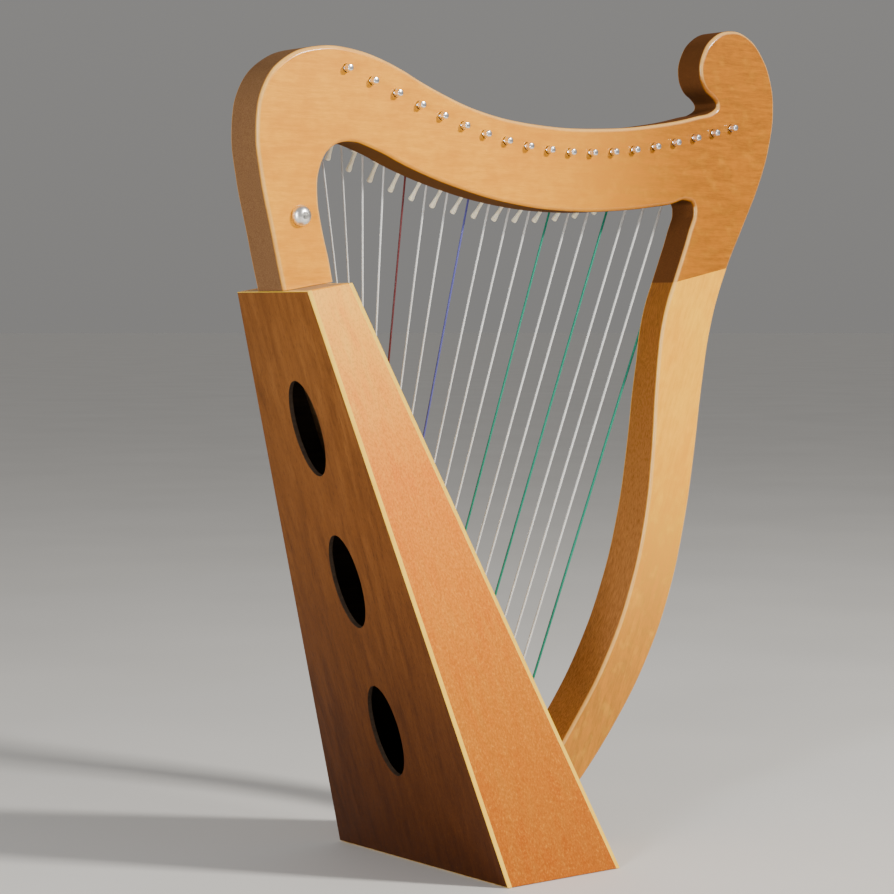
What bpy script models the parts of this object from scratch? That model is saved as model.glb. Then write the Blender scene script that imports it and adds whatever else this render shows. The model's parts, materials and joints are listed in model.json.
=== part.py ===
"""Small lever harp with nineteen strings, built as separate wooden and metal pieces.

Lengths are in metres. +X runs from the player's side of the soundbox towards the pillar, +Y is the
player's left, where the strings and their levers are, and +Z is up. The origin is the centre of the
floor under the whole harp. Points of the side view are (x, z).
"""

import math

import bmesh
import bpy
from mathutils import Matrix, Vector

GAP = 0.0003                # kept between pieces that touch on the real harp

# Soundbox: a four-sided box that leans back and narrows towards its head
BACK_FOOT = Vector((-0.0900, 0.0))
FRONT_FOOT = Vector((0.0068, 0.0))
BACK_HEAD = Vector((-0.2086, 0.3830))
FRONT_HEAD = Vector((-0.1733, 0.3886))
FOOT_HALF_WIDTH = 0.0930
HEAD_HALF_WIDTH = 0.0400
PLATE = 0.0030              # thickness of the soundboard and of the back panel
SIDE = 0.0050               # thickness of the side panels
BASE_BOARD = 0.0080
TOP_BLOCK = 0.0240
LINING = 0.0080
LINING_SPAN = (0.030, 0.925)    # as fractions of the soundbox's height
BRACE_DEPTH = 0.0100
BRACE_HEIGHTS = {"brace_lower": 0.143, "brace_upper": 0.244}
SOUND_HOLE_HEIGHTS = (0.0925, 0.1940, 0.2950)
SOUND_HOLE_HALF_WIDTH = 0.0155
SOUND_HOLE_HALF_HEIGHT = 0.0325
FOOT_BLOCK_DEPTH = 0.0200
FOOT_BLOCK_HALF_WIDTH = 0.0300
FOOT_BLOCK_TOP = 0.0440

# Neck and pillar: one flat outline sawn from thick board, split at a glued joint
FRAME_THICKNESS = 0.0262
EDGE_RADIUS = 0.0030
JOINT_POINT = Vector((0.1552, 0.3965))
JOINT_ANGLE = math.radians(11.8)
DOWEL_RADIUS = 0.0050
DOWEL_LENGTH = 0.0500
SMOOTH = "AUTO"
CORNER = "VECTOR"
FRAME_OUTLINE = (
    # outer side of the shoulder, up from inside the soundbox
    (-0.2040, 0.3700, CORNER), (-0.2107, 0.3960, SMOOTH), (-0.2165, 0.4210, SMOOTH),
    (-0.2245, 0.4560, SMOOTH), (-0.2276, 0.4850, SMOOTH), (-0.2215, 0.5130, SMOOTH),
    (-0.2050, 0.5305, SMOOTH), (-0.1800, 0.5390, SMOOTH), (-0.1530, 0.5388, SMOOTH),
    # top edge of the neck
    (-0.1240, 0.5318, SMOOTH), (-0.0880, 0.5170, SMOOTH), (-0.0480, 0.5042, SMOOTH),
    (0.0020, 0.4973, SMOOTH), (0.0600, 0.4972, SMOOTH), (0.1150, 0.5030, SMOOTH),
    (0.1520, 0.5102, SMOOTH), (0.1668, 0.5145, SMOOTH),
    # notch and scroll
    (0.1705, 0.5185, SMOOTH), (0.1680, 0.5225, SMOOTH), (0.1590, 0.5290, SMOOTH),
    (0.1538, 0.5410, SMOOTH), (0.1562, 0.5540, SMOOTH), (0.1660, 0.5662, SMOOTH),
    (0.1830, 0.5727, SMOOTH), (0.2010, 0.5695, SMOOTH), (0.2160, 0.5565, SMOOTH),
    (0.2250, 0.5390, SMOOTH), (0.2282, 0.5190, SMOOTH), (0.2252, 0.4950, SMOOTH),
    (0.2150, 0.4650, SMOOTH), (0.1985, 0.4330, SMOOTH),
    # outer side of the pillar, down into the soundbox
    (0.1810, 0.4000, SMOOTH), (0.1665, 0.3620, SMOOTH), (0.1570, 0.3150, SMOOTH),
    (0.1495, 0.2650, SMOOTH), (0.1405, 0.2180, SMOOTH), (0.1260, 0.1680, SMOOTH),
    (0.1035, 0.1210, SMOOTH), (0.0740, 0.0790, SMOOTH), (0.0400, 0.0410, SMOOTH),
    (-0.0120, -0.0080, CORNER),
    # inner side of the pillar and the knee, up to the neck
    (-0.0400, 0.0100, CORNER), (0.0070, 0.0510, SMOOTH), (0.0375, 0.0870, SMOOTH),
    (0.0655, 0.1270, SMOOTH), (0.0880, 0.1740, SMOOTH), (0.1025, 0.2250, SMOOTH),
    (0.1090, 0.2730, SMOOTH), (0.1128, 0.3230, SMOOTH), (0.1195, 0.3660, SMOOTH),
    (0.1335, 0.4020, SMOOTH), (0.1440, 0.4280, SMOOTH), (0.1486, 0.4440, SMOOTH),
    # lower edge of the neck
    (0.1452, 0.4488, SMOOTH), (0.1240, 0.4460, SMOOTH), (0.0800, 0.4410, SMOOTH),
    (0.0300, 0.4392, SMOOTH), (-0.0200, 0.4430, SMOOTH), (-0.0700, 0.4530, SMOOTH),
    (-0.1080, 0.4645, SMOOTH), (-0.1370, 0.4755, SMOOTH), (-0.1560, 0.4793, SMOOTH),
    # inner side of the shoulder, down into the soundbox
    (-0.1705, 0.4745, SMOOTH), (-0.1790, 0.4615, SMOOTH), (-0.1808, 0.4440, SMOOTH),
    (-0.1775, 0.4240, SMOOTH), (-0.1720, 0.4030, SMOOTH), (-0.1653, 0.3700, CORNER),
)

# The board's left face swells towards the soundbox, as (level, extra thickness):
# along x over the shoulder, and along z down the pillar
SHOULDER_SWELL = (
    (-0.1712, 0.0), (-0.1745, 0.0005), (-0.1785, 0.0019), (-0.1830, 0.0037), (-0.1870, 0.0050),
    (-0.1910, 0.0055),
)
PILLAR_SWELL = (
    (0.3350, 0.0), (0.3050, 0.0022), (0.2700, 0.0046), (0.2300, 0.0068), (0.1850, 0.0085),
    (0.1400, 0.0095),
)

# Cross bolt that clamps the neck's slot on the top block's tongue
TONGUE_FOOT = Vector((-0.1870, 0.3740))
TONGUE_HEAD = Vector((-0.2005, 0.4480))
TONGUE_WIDTH = 0.0200
TONGUE_THICKNESS = 0.0100
NECK_BOLT_POINT = Vector((-0.1953, 0.4310))
NECK_BOLT_HEAD_RADIUS = 0.0068
NECK_BOLT_SLEEVE_RADIUS = 0.0042
NECK_BOLT_HEAD_HEIGHT = 0.0060
NECK_BOLT_SHANK_RADIUS = 0.0030
NECK_BOLT_SOCKET_RADIUS = 0.0025

# Bolt from inside the box into the foot of the pillar
PILLAR_BOLT_HEIGHT = 0.0270
PILLAR_BOLT_REACH = 0.0220
PILLAR_BOLT_RADIUS = 0.0030
PILLAR_BOLT_HOLE_RADIUS = 0.0034
PILLAR_BOLT_HEAD_RADIUS = 0.0052
PILLAR_BOLT_HEAD_HEIGHT = 0.0040
WASHER_RADIUS = 0.0075
WASHER_THICKNESS = 0.0012

# Stringing: tuning pins along a harmonic curve, bridge pins under them, string holes down the board
STRING_COUNT = 19
HARMONIC_CURVE = ((-0.159, 0.526), (-0.065, 0.495), (-0.003, 0.457), (0.106, 0.484), (0.184, 0.503))
PIN_RADIUS = 0.0025
PIN_NEAR_END = -0.0186
PIN_FAR_END = 0.0290
PIN_DRIVE_LENGTH = 0.0048
PIN_DRIVE_FLAT = 0.00195    # half the width across the square drive's flats
PIN_STRING_HOLE = 0.0245
PIN_STRING_HOLE_RADIUS = 0.0007
PIN_CLEARANCE = 0.0005      # between a pin and its hole in the neck
BRIDGE_FIRST_X = -0.1593
BRIDGE_SPACING = 0.0188
BRIDGE_DROP = 0.0190        # from a tuning pin down to its bridge pin
BRIDGE_PIN_RADIUS = 0.0013
STRING_CLEARANCE = 0.0004   # between a string and the pins it passes
STRING_OFFSET = 0.0210      # from the harp's middle plane to the strings at the bridge pins
STRING_FOOT_FIRST = 0.3495  # height of the first string's hole in the soundboard
STRING_FOOT_STEP = 0.01635
STRING_RADIUS_FIRST = 0.00035
STRING_RADIUS_LAST = 0.00060
STRING_HOLE_RADIUS = 0.0014
RIB_HALF_WIDTH = 0.0060
RIB_THICKNESS = 0.0025
BAR_THICKNESS = 0.0040
RIB_SPAN = (0.118, 0.922)   # as fractions of the soundbox's height

# Sharping levers
LEVER_DROP = 0.0145         # from the bridge pin down the string to the lever's axle
LEVER_AXLE_OFFSET = 0.0255
LEVER_TILT = math.radians(28)
LEVER_LENGTH = 0.0175
LEVER_TIP_HALF_SIZE = (0.0023, 0.0014)
LEVER_ROOT_HALF_SIZE = (0.0012, 0.0011)
LEVER_ROOT_DROP = 0.0012
HUB_RADIUS = 0.0030
HUB_HALF_LENGTH = 0.0038
CAM_REACH = 0.0042
CAM_SIZE = (0.0050, 0.0022, 0.0030)
AXLE_RADIUS = 0.0010
AXLE_BORE = 0.00135
EAR_INNER = 0.0041
EAR_OUTER = 0.0053
EAR_WIDTH = 0.0060
RAIL_THICKNESS = 0.0012
RAIL_END = 0.0065           # from the outer bridge pins to the rail's ends
RAIL_RISE = 0.0040          # from a bridge pin up to the rail's upper edge
RAIL_DROP = 0.0060          # from a lever's axle down to the rail's lower edge
ROOTED = 0.0005             # how deep the rail's ears and pins start inside it


def make_collection(name):
    """New collection linked to the scene."""
    collection = bpy.data.collections.new(name)
    bpy.context.scene.collection.children.link(collection)
    return collection


for old in list(bpy.data.objects):
    bpy.data.objects.remove(old)
HARP = make_collection("lever_harp")
CUTTERS = make_collection("cutters")


def make_material(name, colour, roughness, metallic=0.0):
    """Principled material of one colour."""
    material = bpy.data.materials.new(name)
    material.use_nodes = True
    shader = material.node_tree.nodes["Principled BSDF"]
    shader.inputs["Base Color"].default_value = (*colour, 1.0)
    shader.inputs["Roughness"].default_value = roughness
    shader.inputs["Metallic"].default_value = metallic
    material.diffuse_color = (*colour, 1.0)
    return material


NECK_WOOD = make_material("amber_maple", (0.72, 0.42, 0.12), 0.35)
PILLAR_WOOD = make_material("pale_maple", (0.80, 0.55, 0.20), 0.35)
BACK_WOOD = make_material("mahogany", (0.26, 0.11, 0.045), 0.45)
SIDE_WOOD = make_material("tan_veneer", (0.60, 0.30, 0.12), 0.50)
BOARD_WOOD = make_material("spruce", (0.78, 0.58, 0.32), 0.50)
INNER_WOOD = make_material("plain_beech", (0.62, 0.45, 0.28), 0.65)
RIB_WOOD = make_material("rosewood", (0.12, 0.05, 0.03), 0.40)
CHROME = make_material("chrome", (0.80, 0.80, 0.82), 0.12, 1.0)
ZINC = make_material("zinc_steel", (0.60, 0.61, 0.63), 0.35, 1.0)
CREAM = make_material("cream_plastic", (0.85, 0.80, 0.62), 0.40)
NYLON = make_material("clear_nylon", (0.85, 0.86, 0.86), 0.25)


# Making, placing and cutting pieces

def add_piece(name, mesh, material=None, collection=HARP):
    """Object for a mesh; one without a material is a cutter."""
    piece = bpy.data.objects.new(name, mesh)
    if material is None:
        collection = CUTTERS
        piece.hide_render = True
        piece.display_type = "WIRE"
    else:
        mesh.materials.clear()
        mesh.materials.append(material)
    collection.objects.link(piece)
    return piece


def frozen(piece):
    """The object with its modifiers, or its curve, turned into a plain welded mesh."""
    graph = bpy.context.evaluated_depsgraph_get()
    mesh = bpy.data.meshes.new_from_object(piece.evaluated_get(graph))
    body = bmesh.new()
    body.from_mesh(mesh)
    bmesh.ops.remove_doubles(body, verts=body.verts, dist=1e-6)
    bmesh.ops.recalc_face_normals(body, faces=body.faces)
    body.to_mesh(mesh)
    body.free()
    result = bpy.data.objects.new("frozen", mesh)
    result.matrix_world = piece.matrix_world
    for holder in piece.users_collection:
        holder.objects.link(result)
    result.hide_render = piece.hide_render
    result.display_type = piece.display_type
    name = piece.name
    bpy.data.objects.remove(piece)
    result.name = name
    return result


def boolean(piece, tool, operation="DIFFERENCE"):
    """Cut, keep or join with a tool, which becomes a cutter if it isn't one."""
    modifier = piece.modifiers.new(operation.lower(), "BOOLEAN")
    modifier.operation = operation
    modifier.solver = "EXACT"
    modifier.object = tool
    return piece


def smooth(piece, angle=32):
    """Shade smooth, with edges sharper than the angle left crisp."""
    piece.data.shade_smooth()
    piece.data.set_sharp_from_angle(angle=math.radians(angle))
    return piece


def body_mesh(name, body):
    """Mesh from a bmesh, which is freed."""
    mesh = bpy.data.meshes.new(name)
    body.to_mesh(mesh)
    body.free()
    return mesh


def add_cuboid(body, size, matrix):
    """Cuboid of the given size in a bmesh, placed by a matrix."""
    bmesh.ops.create_cube(body, size=1.0, matrix=matrix @ Matrix.Diagonal((*size, 1.0)))


def add_cylinder(body, radius, length, matrix, segments=16):
    """Cylinder along the matrix's Z axis, centred on its origin."""
    bmesh.ops.create_cone(
        body, cap_ends=True, segments=segments, radius1=radius, radius2=radius, depth=length,
        matrix=matrix,
    )


def at(x, y, z):
    """Matrix that moves to a point."""
    return Matrix.Translation((x, y, z))


def turn_y(angle):
    """Matrix that turns about the Y axis."""
    return Matrix.Rotation(angle, 4, "Y")


ALONG_Y = Matrix.Rotation(math.radians(90), 4, "X")
ALONG_X = Matrix.Rotation(math.radians(90), 4, "Y")


def turned(name, profile, steps, material, matrix):
    """Turned solid from (radius, height) points, run down its outer side; the matrix places its Z axis."""
    mesh = bpy.data.meshes.new(name)
    points = [(radius, 0.0, height) for radius, height in profile]
    closed = profile[0][0] > 0 and profile[-1][0] > 0
    edges = [(i, i + 1) for i in range(len(points) - 1)]
    if closed:
        edges.append((len(points) - 1, 0))
    mesh.from_pydata(points, edges, [])
    piece = add_piece(name, mesh, material)
    screw = piece.modifiers.new("turn", "SCREW")
    screw.steps = steps
    screw.render_steps = steps
    screw.use_merge_vertices = True
    screw.merge_threshold = 0.00002
    piece.matrix_world = matrix
    bpy.context.view_layer.update()
    return smooth(frozen(piece))


# The soundbox's boards

SLOPE = (FOOT_HALF_WIDTH - HEAD_HALF_WIDTH) / BACK_HEAD.y
FLANK_SLANT = math.hypot(1.0, SLOPE)
BOARD_RUN = (FRONT_HEAD - FRONT_FOOT).normalized()
BOARD_OUT = Vector((BOARD_RUN.y, -BOARD_RUN.x))
BACK_LEAN = math.atan2(BACK_HEAD.x - BACK_FOOT.x, BACK_HEAD.y)
BOARD_LEAN = math.atan2(BOARD_RUN.x, BOARD_RUN.y)


def profile_point(fraction, edge, inset):
    """Point of the side view at a fraction of the height, inset square to the back or front edge."""
    back = BACK_FOOT.lerp(BACK_HEAD, fraction)
    front = FRONT_FOOT.lerp(FRONT_HEAD, fraction)
    inward = (front - back).normalized()
    run = (BACK_HEAD - BACK_FOOT).normalized()
    start = back
    if edge == "front":
        inward.negate()
        run = BOARD_RUN
        start = front
    square = Vector((run.y, -run.x))
    return start + inward * (inset / abs(inward.dot(square)))


def flank(side, inset):
    """Rule for the y of a face that follows one side of the box at an inset."""
    def place(z):
        return side * (FOOT_HALF_WIDTH - SLOPE * z - inset * FLANK_SLANT)
    return place


def fixed(y):
    """Rule for the y of an upright face."""
    return lambda z: y


def board(name, span, depth, width, material):
    """Six-sided board between two height fractions, two (edge, inset) pairs and two width rules."""
    body = bmesh.new()
    bmesh.ops.create_cube(body, size=1.0)
    for vert in body.verts:
        fraction = span[vert.co.z > 0]
        x, z = profile_point(fraction, *depth[vert.co.x > 0])
        vert.co = (x, width[vert.co.y > 0](z), z)
    return add_piece(name, body_mesh(name, body), material)


def full_width(inset):
    """Width rules that reach both sides of the box at an inset."""
    return flank(-1, inset), flank(1, inset)


def plate_holes(name, points, lean, radii, segments):
    """Cutter with one cylinder square to a leaning plate at each (x, z) point."""
    body = bmesh.new()
    for x, z in points:
        square = at(x, 0.0, z) @ turn_y(lean) @ ALONG_X
        oval = Matrix.Diagonal((radii[1], radii[0], 1.0, 1.0))
        add_cylinder(body, 1.0, 0.02, square @ oval, segments)
    return add_piece(name, body_mesh(name, body))


def make_box():
    """Back panel, soundboard, side panels, base board, top block and what is glued inside."""
    inside = PLATE + GAP
    between = ("back", inside), ("front", inside)
    walls = SIDE + GAP
    base_top = BASE_BOARD / BACK_HEAD.y

    back = board("back_panel", (0.0, 1.0), (("back", 0.0), ("back", PLATE)), full_width(0.0), BACK_WOOD)
    centres = [BACK_FOOT.lerp(BACK_HEAD, height / BACK_HEAD.y) for height in SOUND_HOLE_HEIGHTS]
    ovals = plate_holes(
        "sound_hole_cutter", centres, BACK_LEAN, (SOUND_HOLE_HALF_WIDTH, SOUND_HOLE_HALF_HEIGHT), 32
    )
    boolean(back, ovals)

    soundboard = board(
        "soundboard", (0.0, 1.0), (("front", PLATE), ("front", 0.0)), full_width(0.0), BOARD_WOOD
    )
    boolean(soundboard, plate_holes(
        "string_hole_cutter", [string_foot(k) for k in range(STRING_COUNT)], BOARD_LEAN,
        (STRING_HOLE_RADIUS, STRING_HOLE_RADIUS), 6,
    ))
    boolean(soundboard, pillar_bolt_hole("soundboard_bolt_hole"))

    for name, side in (("side_panel_right", -1), ("side_panel_left", 1)):
        faces = sorted((flank(side, 0.0), flank(side, SIDE)), key=lambda rule: rule(0.0))
        board(name, (0.0, 1.0), between, faces, SIDE_WOOD)

    for name, side in (("lining_right", -1), ("lining_left", 1)):
        faces = sorted((flank(side, walls), flank(side, walls + LINING)), key=lambda rule: rule(0.0))
        depth = ("front", inside + LINING), ("front", inside)
        board(name, LINING_SPAN, depth, faces, INNER_WOOD)

    board("base_board", (0.0, base_top), between, full_width(walls), INNER_WOOD)

    for name, height in BRACE_HEIGHTS.items():
        middle = height / BACK_HEAD.y
        half = 0.5 * LINING / BACK_HEAD.y
        depth = ("back", inside), ("back", inside + BRACE_DEPTH)
        board(name, (middle - half, middle + half), depth, full_width(walls), INNER_WOOD)

    foot_span = base_top + GAP / BACK_HEAD.y, FOOT_BLOCK_TOP / BACK_HEAD.y
    foot_block = board(
        "pillar_foot_block", foot_span, (("front", inside + FOOT_BLOCK_DEPTH), ("front", inside)),
        (fixed(-FOOT_BLOCK_HALF_WIDTH), fixed(FOOT_BLOCK_HALF_WIDTH)), INNER_WOOD,
    )
    boolean(foot_block, pillar_bolt_hole("foot_block_bolt_hole"))

    rib = board(
        "string_rib", RIB_SPAN, (("front", -GAP), ("front", -GAP - RIB_THICKNESS)),
        (fixed(-RIB_HALF_WIDTH), fixed(RIB_HALF_WIDTH)), RIB_WOOD,
    )
    boolean(rib, bpy.data.objects["string_hole_cutter"])

    top_span = 1.0 - TOP_BLOCK / BACK_HEAD.y, 1.0
    top_block = board("top_block", top_span, between, full_width(walls), INNER_WOOD)
    tongue = slanted_bar("tongue", TONGUE_WIDTH, TONGUE_THICKNESS, TONGUE_FOOT, TONGUE_HEAD)
    boolean(top_block, tongue, "UNION")
    boolean(top_block, cross_hole("tongue_bolt_hole", NECK_BOLT_SLEEVE_RADIUS + GAP))


def slanted_bar(name, width, thickness, foot, head):
    """Rectangular bar between two (x, z) points, centred on the middle plane."""
    run = head - foot
    middle = (foot + head) / 2
    body = bmesh.new()
    matrix = at(middle.x, 0.0, middle.y) @ turn_y(math.atan2(run.x, run.y))
    add_cuboid(body, (width, thickness, run.length), matrix)
    return add_piece(name, body_mesh(name, body))


def cross_hole(name, radius):
    """Cutter along Y for the neck's bolt."""
    body = bmesh.new()
    x, z = NECK_BOLT_POINT
    add_cylinder(body, radius, 0.06, at(x, 0.0, z) @ ALONG_Y, 24)
    return add_piece(name, body_mesh(name, body))


# Neck and pillar

def frame_blank(name):
    """Neck and pillar in one flat board with rounded edges, as a mesh."""
    curve = bpy.data.curves.new(name, "CURVE")
    curve.dimensions = "2D"
    curve.fill_mode = "BOTH"
    curve.resolution_u = 3
    curve.extrude = FRAME_THICKNESS / 2 - EDGE_RADIUS
    curve.bevel_depth = EDGE_RADIUS
    curve.offset = -EDGE_RADIUS
    curve.bevel_resolution = 1
    spline = curve.splines.new("BEZIER")
    spline.bezier_points.add(len(FRAME_OUTLINE) - 1)
    for point, (x, z, handle) in zip(spline.bezier_points, FRAME_OUTLINE):
        point.co = (x, z, 0.0)
        point.handle_left_type = handle
        point.handle_right_type = handle
    spline.use_cyclic_u = True
    blank = bpy.data.objects.new(name, curve)
    HARP.objects.link(blank)
    blank.matrix_world = ALONG_Y
    bpy.context.view_layer.update()
    return smooth(swollen(frozen(blank)))


def swell_at(stations, level):
    """Extra thickness at a level, read between the stations."""
    for (high, less), (low, more) in zip(stations, stations[1:]):
        if level > high:
            return less
        if level > low:
            return less + (more - less) * (high - level) / (high - low)
    return stations[-1][1]


def swollen(piece):
    """Thickens a blank on its left face over the shoulder and down the pillar."""
    body = bmesh.new()
    body.from_mesh(piece.data)
    body.transform(piece.matrix_world)
    for axis, stations in ((Vector((1, 0, 0)), SHOULDER_SWELL), (Vector((0, 0, 1)), PILLAR_SWELL)):
        for level, _ in stations:
            geometry = body.verts[:] + body.edges[:] + body.faces[:]
            bmesh.ops.bisect_plane(body, geom=geometry, dist=1e-6, plane_co=axis * level, plane_no=axis)
    for vert in body.verts:
        if vert.co.y > 0.0:
            shoulder = swell_at(SHOULDER_SWELL, vert.co.x) if vert.co.z > PILLAR_SWELL[0][0] else 0.0
            vert.co.y += shoulder + swell_at(PILLAR_SWELL, vert.co.z)
    body.transform(piece.matrix_world.inverted())
    body.to_mesh(piece.data)
    body.free()
    return piece


def half_space(name, point, angle, below, above, length):
    """Block of given length whose faces lie below and above a line through a side view point."""
    body = bmesh.new()
    size = (length, 0.2, above - below)
    frame = at(point.x, 0.0, point.y) @ turn_y(-angle) @ at(0.0, 0.0, (below + above) / 2)
    add_cuboid(body, size, frame)
    return add_piece(name, body_mesh(name, body))


def dowel_frame():
    """Matrix at the middle of the glued joint, with Z square to it."""
    return at(JOINT_POINT.x, 0.0, JOINT_POINT.y) @ turn_y(-JOINT_ANGLE)


def dowel_hole():
    """Cutter for the dowel that lines up neck and pillar."""
    body = bmesh.new()
    add_cylinder(body, DOWEL_RADIUS + 0.0004, DOWEL_LENGTH + 0.002, dowel_frame())
    return add_piece("dowel_hole_cutter", body_mesh("dowel_hole", body))


def pillar_bolt_frame():
    """Matrix where the pillar's bolt crosses the soundboard's face, with Z square to it, outwards."""
    x, z = FRONT_FOOT.lerp(FRONT_HEAD, PILLAR_BOLT_HEIGHT / FRONT_HEAD.y)
    return at(x, 0.0, z) @ turn_y(BOARD_LEAN) @ ALONG_X


def pillar_bolt_hole(name):
    """Cutter for the pillar's bolt."""
    body = bmesh.new()
    reach = PILLAR_BOLT_REACH + 0.002
    back = FOOT_BLOCK_DEPTH + PLATE + 0.01
    middle = at(0.0, 0.0, (reach - back) / 2)
    add_cylinder(body, PILLAR_BOLT_HOLE_RADIUS, reach + back, pillar_bolt_frame() @ middle)
    return add_piece(name, body_mesh(name, body))


def make_frame(holes):
    """Neck and pillar, with the dowel between them."""
    joint_gap = GAP / 2
    head_run = FRONT_HEAD - BACK_HEAD
    head_angle = math.atan2(head_run.y, head_run.x)
    neck = frame_blank("neck")
    neck.data.materials.append(NECK_WOOD)
    boolean(neck, half_space("neck_joint_cutter", JOINT_POINT, JOINT_ANGLE, -0.45, joint_gap, 0.62))
    boolean(neck, half_space("neck_foot_cutter", BACK_HEAD, head_angle, -0.05, GAP, 0.20))
    boolean(neck, slanted_bar(
        "neck_slot_cutter", TONGUE_WIDTH + 2 * GAP, TONGUE_THICKNESS + 2 * GAP,
        TONGUE_FOOT, TONGUE_HEAD + (TONGUE_HEAD - TONGUE_FOOT).normalized() * GAP * 2,
    ))
    boolean(neck, holes)

    pillar = frame_blank("pillar")
    pillar.data.materials.append(PILLAR_WOOD)
    below_joint = half_space("pillar_joint_cutter", JOINT_POINT, JOINT_ANGLE, -0.45, -joint_gap, 0.62)
    boolean(pillar, below_joint, "INTERSECT")
    board_side = half_space(
        "pillar_foot_cutter", FRONT_FOOT, math.radians(90) - BOARD_LEAN, -GAP, 0.08, 0.3
    )
    boolean(pillar, board_side)
    dowel = dowel_hole()
    boolean(neck, dowel)
    boolean(pillar, dowel)
    boolean(pillar, pillar_bolt_hole("pillar_bolt_cutter"))

    body = bmesh.new()
    add_cylinder(body, DOWEL_RADIUS, DOWEL_LENGTH, dowel_frame())
    smooth(add_piece("joint_dowel", body_mesh("joint_dowel", body), INNER_WOOD))


# Fasteners

def make_neck_bolt():
    """Domed socket bolt on the right face of the neck and its sleeve nut on the left face."""
    x, z = NECK_BOLT_POINT
    seat = FRAME_THICKNESS / 2 + GAP
    swell = swell_at(SHOULDER_SWELL, x)
    head = NECK_BOLT_HEAD_RADIUS
    top = NECK_BOLT_HEAD_HEIGHT
    sleeve = NECK_BOLT_SLEEVE_RADIUS
    thread = NECK_BOLT_SHANK_RADIUS
    dome = [(0.0, top), (0.45 * head, 0.93 * top), (0.78 * head, 0.67 * top), (head, 0.24 * top), (head, 0.0)]
    shank = [(sleeve, 0.0), (sleeve, -0.0100), (thread, -0.0104), (thread, -0.0215), (0.0, -0.0220)]
    near = at(x, -seat, z) @ ALONG_Y
    bolt = turned("neck_bolt", dome + shank, 24, CHROME, near)
    socket = bmesh.new()
    add_cylinder(socket, NECK_BOLT_SOCKET_RADIUS, 0.0050, near @ at(0.0, 0.0, top), 6)
    boolean(bolt, add_piece("socket_cutter", body_mesh("socket", socket)))

    bore = thread + 0.0004
    end = -0.0155 - swell
    tube = [(sleeve, 0.0), (sleeve, end), (bore, end), (bore, -0.0030), (0.0, -0.0030)]
    far = at(x, seat + swell, z) @ Matrix.Rotation(math.radians(-90), 4, "X")
    turned("neck_bolt_nut", dome + tube, 24, CHROME, far)


def make_pillar_bolt():
    """Bolt and washer that draw the pillar's foot to the soundbox."""
    frame = pillar_bolt_frame()
    hole = PILLAR_BOLT_HOLE_RADIUS
    top = -(PLATE + FOOT_BLOCK_DEPTH + 3 * GAP)
    under = top - WASHER_THICKNESS
    washer = [(WASHER_RADIUS, top), (WASHER_RADIUS, under), (hole, under), (hole, top)]
    turned("pillar_bolt_washer", washer, 24, ZINC, frame)

    tip = PILLAR_BOLT_REACH
    shank = PILLAR_BOLT_RADIUS
    head = PILLAR_BOLT_HEAD_RADIUS
    seat = under - GAP
    end = seat - PILLAR_BOLT_HEAD_HEIGHT
    bolt = [(0.0, tip), (0.83 * shank, tip - 0.0005), (shank, tip - 0.0015), (shank, seat), (head, seat),
            (head, end + 0.0005), (0.77 * head, end), (0.0, end)]
    turned("pillar_bolt", bolt, 16, ZINC, frame)


# Stringing

def pin_point(k):
    """Side view point of a tuning pin's axis, on the Bezier curve through the neck."""
    t = k / (STRING_COUNT - 1)
    points = [Vector(point) for point in HARMONIC_CURVE]
    while len(points) > 1:
        points = [a.lerp(b, t) for a, b in zip(points, points[1:])]
    return points[0]


def bridge_point(k):
    """Side view point where a string bends over its bridge pin."""
    return Vector((BRIDGE_FIRST_X + BRIDGE_SPACING * k, pin_point(k).y - BRIDGE_DROP))


def string_foot(k):
    """Side view point of a string's hole in the soundboard's outer face."""
    height = STRING_FOOT_FIRST - STRING_FOOT_STEP * k
    return FRONT_FOOT.lerp(FRONT_HEAD, height / FRONT_HEAD.y)


def string_exit(k):
    """Side view point where a string leaves the rib and turns towards the neck."""
    return string_foot(k) + BOARD_OUT * (GAP + RIB_THICKNESS + 0.0005)


def string_radius(k):
    """Strings grow thicker from the shoulder to the pillar."""
    t = k / (STRING_COUNT - 1)
    return STRING_RADIUS_FIRST + (STRING_RADIUS_LAST - STRING_RADIUS_FIRST) * t


def string_angle(k):
    """Lean of a string from upright in the side view."""
    run = bridge_point(k) - string_exit(k)
    return math.atan2(run.x, run.y)


def lever_frame(k):
    """Matrix at a lever's axle: X along the axle, Y away from the neck, Z up the string."""
    angle = string_angle(k)
    axle = bridge_point(k) - Vector((math.sin(angle), math.cos(angle))) * LEVER_DROP
    return at(axle.x, LEVER_AXLE_OFFSET, axle.y) @ turn_y(angle)


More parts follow.
